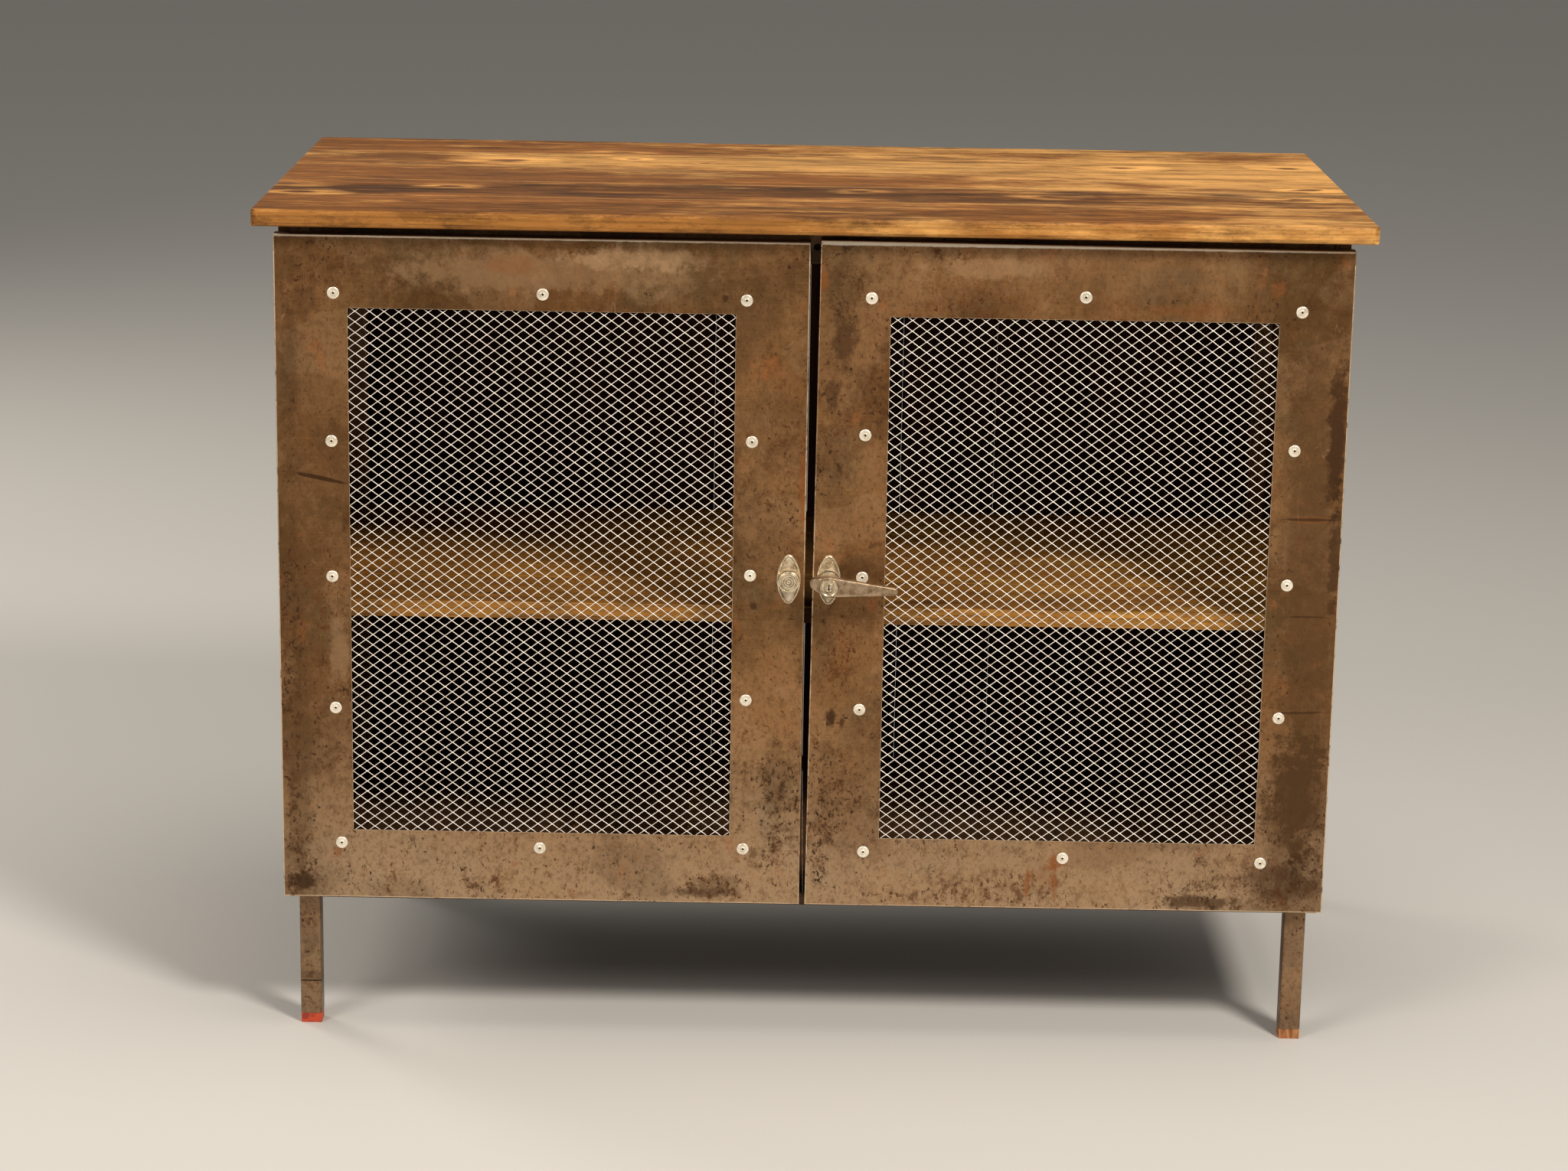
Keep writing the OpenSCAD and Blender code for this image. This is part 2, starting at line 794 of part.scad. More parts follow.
module plate_screws(side) {
    color(zinc) framed() at_plate_screws(side) {
        rod_y(plate_screw_r, -plate_screw_bite + hole_slack, sheet_t);
        rod_y(plate_screw_head_r, sheet_t, sheet_t + plate_screw_head_h);
    }
}

// Lever, its lock cylinder and key plug, and the spindle with the cam behind the door
module at_lock() {
    framed() translate([lock_x, 0, lock_z]) children();
}

module lever_handle() {
    color(bare_cast) at_lock() difference() {
        hull() {
            translate([lever_r - lever_tail, 0, 0]) rod_y(lever_r, lever_face_y, lever_y, $fn = 32);
            rod_y(lever_r, lever_face_y, lever_y, $fn = 32);
            translate([lever_len - tip_r, 0, -tip_drop])
                rod_y(tip_r, lever_face_y + tip_front, lever_y - tip_back, $fn = 32);
        }
        rod_y(cylinder_r + run_fit, lever_face_y - cut, lever_y - pocket_floor);
        rod_y(spindle_r + run_fit, lever_face_y, lever_y + cut);
    }
}

module lock_cylinder() {
    color(zinc) at_lock() difference() {
        rod_y(cylinder_r, cylinder_face_y, lever_y - pocket_floor);
        rod_y(plug_r + run_fit, cylinder_face_y - cut, lever_y - pocket_floor - plug_floor);
    }
}

module key_plug() {
    color(zinc) at_lock() difference() {
        rod_y(plug_r, cylinder_face_y, lever_y - pocket_floor - plug_floor - hole_slack);
        plate_y(cylinder_face_y - cut, cylinder_face_y + keyway_depth)
            square([keyway_w, keyway_h], center = true);
    }
}

module lever_spindle() {
    color(zinc) at_lock() difference() {
        rod_y(spindle_r, lever_y - pocket_floor, cam_y1);
        rod_y(cam_screw_r + hole_slack, cam_y1 - cam_screw_bite - hole_slack, cam_y1 + cut);
    }
}

module cam() {
    color(dark_steel) at_lock() difference() {
        union() {
            rod_y(cam_hub_r, cam_y0, cam_y1);
            plate_y(cam_y0, cam_y1)
                translate([-cam_w / 2, cam_w / 2 - cam_len]) square([cam_w, cam_len - cam_w / 2]);
            translate([0, 0, cam_w / 2 - cam_len]) rod_y(cam_w / 2, cam_y0, cam_y1);
        }
        rod_y(spindle_r + run_fit, cam_y0 - cut, cam_y1 + cut);
    }
}

module cam_screw() {
    color(zinc) at_lock() {
        rod_y(cam_screw_head_r, cam_y1, cam_y1 + cam_screw_head_h);
        rod_y(cam_screw_r, cam_y1 - cam_screw_bite, cam_y1);
    }
}

top_plank(1);  // top_plank_1
top_plank(2);  // top_plank_2
top_plank(3);  // top_plank_3
top_plank(4);  // top_plank_4
top_plank(5);  // top_plank_5
leg(-1, front_leg_y);  // leg_front_left
leg(1, front_leg_y);  // leg_front_right
leg(-1, rear_leg_y);  // leg_rear_left
leg(1, rear_leg_y);  // leg_rear_right
pad(-1, front_leg_y);  // pad_front_left
pad(1, front_leg_y);  // pad_front_right
pad(-1, rear_leg_y);  // pad_rear_left
pad(1, rear_leg_y);  // pad_rear_right
side_panel(-1);  // side_panel_left
side_panel(1);  // side_panel_right
rail_front();
rail_rear();
rail_across(top_screw_x[0], bay_y0, bay_y1);  // rail_left
rail_across(top_screw_x[2], bay_y0, bay_y1);  // rail_right
rail_across(0, carcass_y + rail_w, post_back_y - rail_w);  // rail_middle
floor_frame();
floor_boards();
shelf_cleat(-1);  // shelf_cleat_left
shelf_cleat(1);  // shelf_cleat_right
shelf_board(1);  // shelf_board_1
shelf_board(2);  // shelf_board_2
shelf_board(3);  // shelf_board_3
shelf_board(4);  // shelf_board_4
back_boards();
top_screws();
back_screws();
magnet_catches();
door_buffers();
hinge_bases(-1);  // hinge_bases_left
hinge_bases(1);  // hinge_bases_right
hinge_pins();
hinge_washers();
door_tray(-1);  // left_door
door_mesh(-1);  // left_mesh
mesh_clamps(-1);  // left_mesh_clamps
rivets(-1);  // left_rivets
hinge_sleeves(-1);  // left_hinge_sleeves
left_lock_plate();
left_blank_cap();
plate_screws(-1);  // left_plate_screws
keeper(-1);  // left_keeper
door_tray(1);  // right_door
door_mesh(1);  // right_mesh
mesh_clamps(1);  // right_mesh_clamps
rivets(1);  // right_rivets
hinge_sleeves(1);  // right_hinge_sleeves
right_lock_plate();
plate_screws(1);  // right_plate_screws
keeper(1);  // right_keeper
lever_handle();
lock_cylinder();
lever_spindle();
cam();
cam_screw();
key_plug();
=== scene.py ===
# %% [markdown]
# # A steel cabinet with mesh doors
# This lesson dresses a finished construction. The frame holds every part of the cabinet at its real
# size and place. Each step below takes one part, says what it is on the real cabinet, and gives it
# its shape close up and its finish.

# %% Frame, tools and units
import json
import math

import bmesh
import bpy
from mathutils import Matrix, Vector


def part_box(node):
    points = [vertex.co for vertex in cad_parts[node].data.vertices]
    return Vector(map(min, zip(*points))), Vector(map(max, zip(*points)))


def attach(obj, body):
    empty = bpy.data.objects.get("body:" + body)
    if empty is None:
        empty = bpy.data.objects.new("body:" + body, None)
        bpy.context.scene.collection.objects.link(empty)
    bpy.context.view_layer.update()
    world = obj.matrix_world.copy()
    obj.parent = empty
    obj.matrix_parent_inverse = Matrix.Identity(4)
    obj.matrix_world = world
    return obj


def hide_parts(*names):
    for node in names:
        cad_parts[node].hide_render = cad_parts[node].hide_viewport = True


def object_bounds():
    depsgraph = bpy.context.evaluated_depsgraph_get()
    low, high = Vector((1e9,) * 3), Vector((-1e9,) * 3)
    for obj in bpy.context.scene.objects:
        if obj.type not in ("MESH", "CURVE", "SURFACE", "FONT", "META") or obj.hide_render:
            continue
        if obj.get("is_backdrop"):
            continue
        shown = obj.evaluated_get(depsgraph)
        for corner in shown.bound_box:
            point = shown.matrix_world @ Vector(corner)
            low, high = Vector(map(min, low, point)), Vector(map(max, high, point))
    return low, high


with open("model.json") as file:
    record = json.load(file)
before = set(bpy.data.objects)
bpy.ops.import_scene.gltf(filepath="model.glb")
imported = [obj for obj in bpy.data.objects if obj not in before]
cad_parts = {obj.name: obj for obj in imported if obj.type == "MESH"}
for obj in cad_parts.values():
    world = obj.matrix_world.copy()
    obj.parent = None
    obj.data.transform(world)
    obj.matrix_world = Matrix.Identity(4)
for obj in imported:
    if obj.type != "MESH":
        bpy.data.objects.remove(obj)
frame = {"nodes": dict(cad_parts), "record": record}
cad_low, cad_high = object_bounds()
MM = 0.001


def linked(name, data):
    """A new object in the scene that carries this mesh, lamp or camera."""
    made = bpy.data.objects.new(name, data)
    bpy.context.scene.collection.objects.link(made)
    return made


def centre_of(box):
    return (box[0] + box[1]) / 2


def ends(points):
    """The lowest and highest corner of the box round some points."""
    return [Vector(end(point[axis] for point in points) for axis in range(3)) for end in (min, max)]


print("cabinet", [round(side, 3) for side in cad_high - cad_low], "m,", len(frame["nodes"]), "parts")

# %% [markdown]
# ## The camera
# The picture was taken by a person standing in front of the cabinet, a little left of its middle and
# above its top. A camera can be matched to a picture from the corners of a box of known size: the
# corners of the doors and of the planks gave the values here. The lens is long, so edges stay
# nearly parallel, and the camera leans by one degree, which the picture shows in its level lines.
# The angles are in radians.

# %% Camera
PICTURE_WIDTH = 2048
FOCAL_IN_PIXELS = 4866
SENSOR_WIDTH = 36
look_down = 0.2449
lean = -0.0168
swing = -0.0002
standpoint = (-0.0274, -4.4444, 1.5915)
across_back_up = Matrix(((1, 0, 0), (0, 0, 1), (0, -1, 0)))
to_camera = (
    Matrix.Rotation(lean, 3, "Z") @ Matrix.Rotation(look_down, 3, "X") @ Matrix.Rotation(swing, 3, "Y")
) @ across_back_up
camera = linked("camera", bpy.data.cameras.new("camera"))
camera.data.sensor_width = SENSOR_WIDTH
camera.data.lens = SENSOR_WIDTH * FOCAL_IN_PIXELS / PICTURE_WIDTH
camera.matrix_world = Matrix.Translation(standpoint) @ to_camera.transposed().to_4x4()
bpy.context.scene.camera = camera
print("lens", round(camera.data.lens, 1), "mm")

# %% [markdown]
# ## Node trees as sentences
# Finishes and repeating parts are both node trees. A tree is easier to read as sums than as a wall
# of links, so a small class stands for one output of a node, and Python's own signs add Math nodes
# to the tree. Every other node comes from one method that takes its kind, settings and sockets.

# %% A wire and the bench it lies on
class Wire:
    """One output of a node. Signs between wires and numbers add Math nodes to the same tree."""

    def __init__(self, bench, socket):
        self.bench = bench
        self.socket = socket

    def __add__(self, other):
        return self.bench.maths("ADD", self, other)

    def __sub__(self, other):
        return self.bench.maths("SUBTRACT", self, other)

    def __rsub__(self, other):
        return self.bench.maths("SUBTRACT", other, self)

    def __mul__(self, other):
        return self.bench.maths("MULTIPLY", self, other)

    def __truediv__(self, other):
        return self.bench.maths("DIVIDE", self, other)

    __radd__ = __add__
    __rmul__ = __mul__


class Bench:
    """A node tree that is being built."""

    def __init__(self, tree):
        self.tree = tree

    def node(self, kind, settings=None, sockets=None, output=0):
        made = self.tree.nodes.new(kind)
        for name, value in (settings or {}).items():
            setattr(made, name, value)
        for key, value in (sockets or {}).items():
            if isinstance(value, Wire):
                self.tree.links.new(value.socket, made.inputs[key])
            else:
                made.inputs[key].default_value = value
        return Wire(self, made.outputs[output]) if made.outputs else None

    def maths(self, operation, *values):
        return self.node("ShaderNodeMath", {"operation": operation}, dict(enumerate(values)))

    def join(self, x, y, z):
        return self.node("ShaderNodeCombineXYZ", sockets={0: x, 1: y, 2: z})


# %% [markdown]
# ## What a finish is made of
# Paint charts give colours as numbers from 0 to 255, while the renderer counts light, so a colour is
# turned into light once, here. A finish is then clouds of noise at the sizes that the real surface
# shows, soft steps that cut the clouds into spots, and blends of colours through those masks. All of
# it lies on Object coordinates, so it stays put on the steel when a door swings.

# %% A finish
def paint(red, green, blue):
    """A colour of 0 to 255 as the renderer's linear light."""
    shares = (red / 255, green / 255, blue / 255)
    return tuple(s / 12.92 if s < 0.04 else ((s + 0.055) / 1.055) ** 2.4 for s in shares) + (1.0,)


class Finish(Bench):
    """A material built from masks on Object coordinates."""

    def __init__(self, name):
        self.material = bpy.data.materials.new(name)
        self.material.use_nodes = True
        super().__init__(self.material.node_tree)
        self.tree.nodes.clear()
        self.place = self.node("ShaderNodeTexCoord", output="Object")
        self.x, self.y, self.z = self.split(self.place)
        self.colour = None

    def split(self, vector):
        first = self.node("ShaderNodeSeparateXYZ", sockets={0: vector})
        return [Wire(self, output) for output in first.socket.node.outputs]

    def cloud(self, scale, detail=3, roughness=0.55, stretch=(1, 1, 1), shift=(0, 0, 0), place=None):
        """Soft noise from 0 to 1 around 0.5; a stretch above 1 packs it tighter along that axis."""
        spot = self.node(
            "ShaderNodeMapping",
            sockets={"Vector": place or self.place, "Location": shift, "Scale": stretch},
        )
        return self.node(
            "ShaderNodeTexNoise",
            sockets={"Vector": spot, "Scale": scale, "Detail": detail, "Roughness": roughness},
        )

    def step(self, value, low, high):
        """0 below low, 1 above high, and a soft step between them."""
        return self.node(
            "ShaderNodeMapRange",
            {"interpolation_type": "SMOOTHSTEP"},
            {"Value": value, "From Min": low, "From Max": high},
        )

    def blend(self, under, over, share):
        """Two colours mixed by a mask. Each is a tint of 0 to 255, linear light or another blend."""
        under, over = (
            paint(*tone) if isinstance(tone, tuple) and len(tone) == 3 else tone for tone in (under, over)
        )
        return self.node("ShaderNodeMix", {"data_type": "RGBA"}, {0: share, 6: under, 7: over}, output=2)

    def lay(self, over, share):
        """Puts a colour over the finish's colour so far."""
        self.colour = self.blend(self.colour, over, share)

    def mark(self, name):
        """An attribute that the piece's faces carry, such as its worn arrises."""
        return self.node("ShaderNodeAttribute", {"attribute_name": name}, output="Fac")

    def blot(self, ragged, x, z, wide, high, power, slope=0):
        """A ragged mask on the plane of the doors: its middle and half sizes in millimetres, then its
        power and slope in per cent."""
        x, z, wide, high = x / 1000, z / 1000, wide / 1000, high / 1000
        left = (self.x - x) / wide
        up = (self.z - z - (self.x - x) * (slope / 100)) / high
        torn = 2.4 if high > 3 * MM else 0.8
        distance = self.maths("SQRT", left * left + up * up) + (ragged - 0.5) * torn
        return (1 - self.step(distance, 0.5, 1.1)) * (power / 100)

    def line(self, value, middle, half):
        """1 where a value is near its middle, fading out over half."""
        return 1 - self.step(self.maths("ABSOLUTE", value - middle), 0, half)

    def surface(self, roughness, metallic, relief=None, depth=0.0, coat=0.0, shine=0.5):
        sockets = {
            "Base Color": self.colour, "Roughness": roughness, "Metallic": metallic,
            "Specular IOR Level": shine, "Coat Weight": coat,
        }
        if relief:
            bump = {"Height": relief, "Distance": depth, "Strength": 1.0}
            sockets["Normal"] = self.node("ShaderNodeBump", sockets=bump)
        shader = self.node("ShaderNodeBsdfPrincipled", sockets=sockets)
        self.node("ShaderNodeOutputMaterial", sockets={"Surface": shader})
        return self.material


# %% [markdown]
# ## Old sheet steel
# The doors are raw hot-rolled sheet under clear lacquer. Mill scale makes it brown and cloudy, rust
# has eaten dark specks into it in clusters, and hands and tools have left stains. The arrises are
# rubbed down to bright metal. One function mixes all steels of the cabinet, because they differ only
# in tone and in how many specks and stains they carry. It reads the worn arrises from an attribute.

# %% Steel
def old_steel(name, light, dark, seed=0.0, marks=(), clusters=(), painted_floor_glow=0.0, outer=0.0,
              bright=(222, 196, 164), sheen=0.68, tarnish=(), shade_depth=None):
    """marks pairs a colour with its blots; specks crowd in the blots of clusters, and arrises have gone
    dull in those of tarnish. Behind a given depth the sheet is darkened as painted shade, so that its
    folded edges in the gap between the doors stay dark."""
    steel = Finish(name)
    shift = (seed, seed * 1.7, seed * 0.6)
    haze = steel.cloud(5, 5, 0.6, shift=shift)
    patches = steel.cloud(15, 4, 0.6, (1, 1, 0.6), shift)
    ragged = steel.cloud(62, 5, 0.75, shift=shift)
    grain = steel.cloud(60, 3, 0.6, (0.25, 1, 9), shift)
    grit = steel.cloud(300, 3, 0.6, (1, 1, 0.8), shift)
    tone = haze * 0.5 + patches * 0.38 + grain * 0.12
    steel.colour = steel.blend(dark, light, steel.step(tone, 0.4, 0.6))
    warm = steel.step(steel.cloud(4, 3, 0.6, shift=(seed + 4, 6, 1)), 0.42, 0.6)
    steel.lay((138, 88, 46), warm * 0.3)
    olive = steel.step(steel.cloud(7, 4, 0.6, shift=(seed + 7, 2, 6)), 0.52, 0.64)
    steel.lay((100, 86, 60), olive * 0.42)
    # Painted reflection of the pale floor: the sheet turns paler towards the bottom.
    low = 1 - steel.step(steel.z + (haze - 0.5) * 0.3, 0.12, 0.46)
    steel.lay((182, 154, 122), low * painted_floor_glow)
    far_out = steel.step(steel.maths("ABSOLUTE", steel.x) + (patches - 0.5) * 0.1, 0.5, 0.6)
    steel.lay((80, 54, 28), far_out * outer)
    scale = steel.cloud(7, 2, 0.4, (1, 1, 1.3), (seed + 3, 0, 5)) + ragged * 0.08
    steel.lay((170, 132, 94), steel.step(scale, 0.59, 0.61) * 0.24)
    steel.lay((86, 62, 36), steel.step(scale, 0.48, 0.43) * 0.28)
    brown_zone = steel.step(steel.cloud(8, 4, 0.6, shift=(seed + 9, 1, 2)), 0.5, 0.66)
    steel.lay((76, 46, 22), brown_zone * steel.step(ragged, 0.42, 0.64) * 0.6)
    rust = steel.step(steel.cloud(31, 5, 0.7, (1, 1, 0.7), (seed + 5, 3, 7)), 0.57, 0.7)
    steel.lay((146, 80, 32), rust * 0.4)
    steel.lay((72, 48, 24), steel.step(grit, 0.48, 0.68) * 0.34)
    mottle = steel.cloud(120, 4, 0.72, (1, 1, 0.8), (seed + 6, 5, 3))
    steel.lay((92, 64, 36), steel.step(mottle, 0.5, 0.64) * 0.3)
    steel.lay((172, 136, 98), steel.step(mottle, 0.46, 0.36) * 0.12)
    crowd = steel.step(steel.cloud(9, 3, 0.6, shift=(seed + 2, 8, 4)), 0.5, 0.62) * 0.7
    for blot in clusters:
        crowd = crowd + steel.blot(ragged, *blot)
    crowd = steel.maths("MINIMUM", crowd, 1.0)
    fine = steel.cloud(215, 3, 0.7, (1, 1, 0.75), shift) + crowd * 0.07
    coarse = steel.cloud(76, 5, 0.76, (1, 1, 0.8), shift) + crowd * 0.1
    steel.lay((96, 62, 32), steel.step(coarse, 0.54, 0.7) * 0.55)
    speck = steel.maths("MAXIMUM", steel.step(fine, 0.61, 0.68), steel.step(coarse, 0.63, 0.75))
    speck_tone = steel.blend((56, 33, 14), (100, 56, 24), steel.step(patches, 0.42, 0.6))
    steel.lay(speck_tone, speck * 0.84)
    steel.lay((34, 21, 11), steel.step(fine, 0.68, 0.74) * 0.6)
    grime_and_shade = speck
    for tint, blots in marks:
        mask = 0.0
        for blot in blots:
            mask = mask + steel.blot(ragged, *blot)
        mask = steel.maths("MINIMUM", mask, 0.94)
        steel.lay(tint, mask)
        grime_and_shade = grime_and_shade + mask * 0.5
    scratch = steel.line(steel.cloud(14, 2, 0.5, (2.5, 1, 0.25), (seed + 1, 4, 2)), 0.5, 0.0035)
    scratch = scratch * steel.step(patches, 0.5, 0.62)
    steel.lay((180, 148, 114), scratch * 0.3)
    worn = steel.mark("arris") * steel.step(steel.cloud(70, 3, 0.6, shift=shift), 0.3, 0.48)
    for blot in tarnish:
        worn = worn * (1 - steel.blot(ragged, *blot))
    steel.lay(bright, worn * 0.85)
    # Painted shade: the sheet behind its front is darkened, including the folded edges seen in the gap
    # between the doors.
    if shade_depth:
        painted_fold_shade = steel.step(steel.y, shade_depth, shade_depth + 1 * MM)
        steel.lay((62, 42, 24), painted_fold_shade * 0.85)
        grime_and_shade = grime_and_shade + painted_fold_shade
    rough = 0.38 + (haze - 0.5) * 0.3 + grime_and_shade * 0.3 - worn * 0.1
    metal = sheen - grime_and_shade * 0.16 - rust * 0.2
    relief = haze * 3.0 + patches * 0.4 + grain * 0.03 - speck * 0.08 - rust * 0.02
    return steel.surface(rough, metal, relief, 1.2 * MM, 0.04, 0.25)


# %% [markdown]
# The marks are placed where the real doors have them: a long dark run down the right door's outer
# edge, smears beside its inner column, black spots in the lower corners, a scar on the left door,
# thin dark lines across the right border, rust round one rivet, and pale patches where the mill
# scale has come off. Two of the pale patches, along the top border of the left door, are painted light
# against the shade of the top's overhang. The rust specks crowd in clusters, most of all along the
# lower borders, and a bright line along the top rim of both doors is a painted highlight. Each mark
# gives its middle, its half sizes and its power.

# %% Steel finishes
dark_marks = (
    (599, 745, 13, 100, 85), (604, 600, 9, 80, 70), (575, 300, 45, 90, 26), (565, 205, 55, 30, 60),
    (470, 176, 50, 10, 75), (35, 845, 16, 30, 70), (22, 775, 10, 20, 60), (28, 394, 8, 13, 90),
    (41, 388, 4, 8, 80), (52, 575, 22, 20, 35), (-35, 320, 22, 45, 30), (-63, 526, 6, 6, 80),
    (-586, 186, 22, 12, 85), (-120, 178, 50, 8, 55), (-594, 800, 12, 90, 35),
    (-575, 875, 20, 22, 40), (-562, 670, 34, 3, 130, -20), (570, 640, 38, 2.2, 85),
    (575, 525, 30, 1.4, 70), (572, 410, 36, 1.8, 75, 3), (-100, 885, 4, 6, 80),
)
rust_marks = (
    (298.5, 224, 13, 11, 75), (263, 196, 4, 26, 65), (295, 194, 4, 22, 55), (280, 204, 22, 18, 25),
    (-8, 667, 5, 60, 60), (-340, 920, 40, 12, 35), (10, 905, 8, 14, 50), (428, 880, 60, 10, 30),
    (523, 906, 9, 16, 40), (574, 640, 30, 4, 35), (-545, 222, 5, 8, 60),
)
# Pale patches where the mill scale has come off. The two along the top border of the left door, at 912 and
# 928 mm, are painted light against the shade of the top's overhang.
pale_scale_and_painted_light = (
    (-200, 928, 100, 16, 40), (-300, 912, 190, 30, 36), (-541, 465, 14, 50, 40),
    (200, 925, 80, 14, 30), (110, 196, 50, 14, 35), (-60, 230, 16, 50, 30), (360, 190, 60, 20, 35),
    (330, 205, 250, 50, 14), (340, 922, 230, 36, 12),
)
brown_marks = (
    (575, 560, 36, 330, 60), (571, 300, 40, 90, 60), (-590, 330, 16, 180, 40),
    (-106, 912, 39, 36, 35), (-105, 189, 34, 14, 45), (37, 903, 24, 43, 55),
)
# A painted highlight: a pale line along the top rim of both doors.
painted_rim_highlight = ((-300, 950.2, 3000, 2.8, 90),)
door_marks = (
    ((172, 138, 102), pale_scale_and_painted_light),
    ((84, 58, 30), brown_marks),
    ((136, 78, 34), rust_marks),
    ((60, 36, 15), dark_marks),
    ((236, 224, 204), painted_rim_highlight),
)
door_clusters = (
    (-585, 904, 26, 35, 90), (-357, 926, 45, 14, 80), (-233, 936, 80, 8, 100),
    (-25, 921, 22, 20, 90), (-597, 420, 12, 240, 80), (-590, 210, 22, 70, 90),
    (-37, 298, 32, 52, 100), (-54, 223, 26, 26, 100), (-105, 184, 50, 18, 100),
    (-30, 660, 30, 120, 50), (18, 243, 16, 75, 100), (37, 903, 26, 45, 100), (40, 480, 30, 60, 50),
    (169, 927, 20, 16, 100), (272, 912, 18, 30, 90), (523, 906, 16, 24, 90), (571, 300, 45, 70, 100),
    (565, 430, 30, 50, 60), (220, 190, 180, 22, 100), (500, 190, 90, 22, 90),
)
dull_edges = ((-5, 360, 12, 260, 80), (5, 800, 12, 200, 80))
weld_marks = ((-582.5, 53, 30, 1.2, 90), (-582.5, 60, 30, 6, 35))
door_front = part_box("left_door")[0].y
door_steel = old_steel(
    "door sheet", (149, 109, 70), (107, 76, 43), marks=door_marks, clusters=door_clusters,
    painted_floor_glow=0.8, outer=0.4, tarnish=dull_edges, shade_depth=door_front + 2 * MM,
)
panel_steel = old_steel("panel sheet", (134, 100, 68), (94, 68, 42), 4.0, painted_floor_glow=0.25)
leg_steel = old_steel(
    "leg tube", (142, 117, 91), (92, 72, 53), 8.0, (((46, 32, 22), weld_marks),), painted_floor_glow=0.2,
    bright=(164, 140, 112),
)
dark_steel = old_steel("mill scale", (76, 57, 38), (46, 33, 21), 12.0, bright=(104, 84, 62), sheen=0.5)
print("steels:", door_steel.name, panel_steel.name, leg_steel.name, dark_steel.name)

# %% [markdown]
# ## Planks, shelf and boards
# The top is glued from five pine planks, scorched and brushed before the oil. The cut of a plank can
# be grown rather than drawn: rings lie at even distances round a pith that wanders under the face,
# and the face shows where it cuts them, as long arches. Each plank draws its own pith, tone and
# shift from its number, so no two match. Knots push the rings aside and have dark hearts.

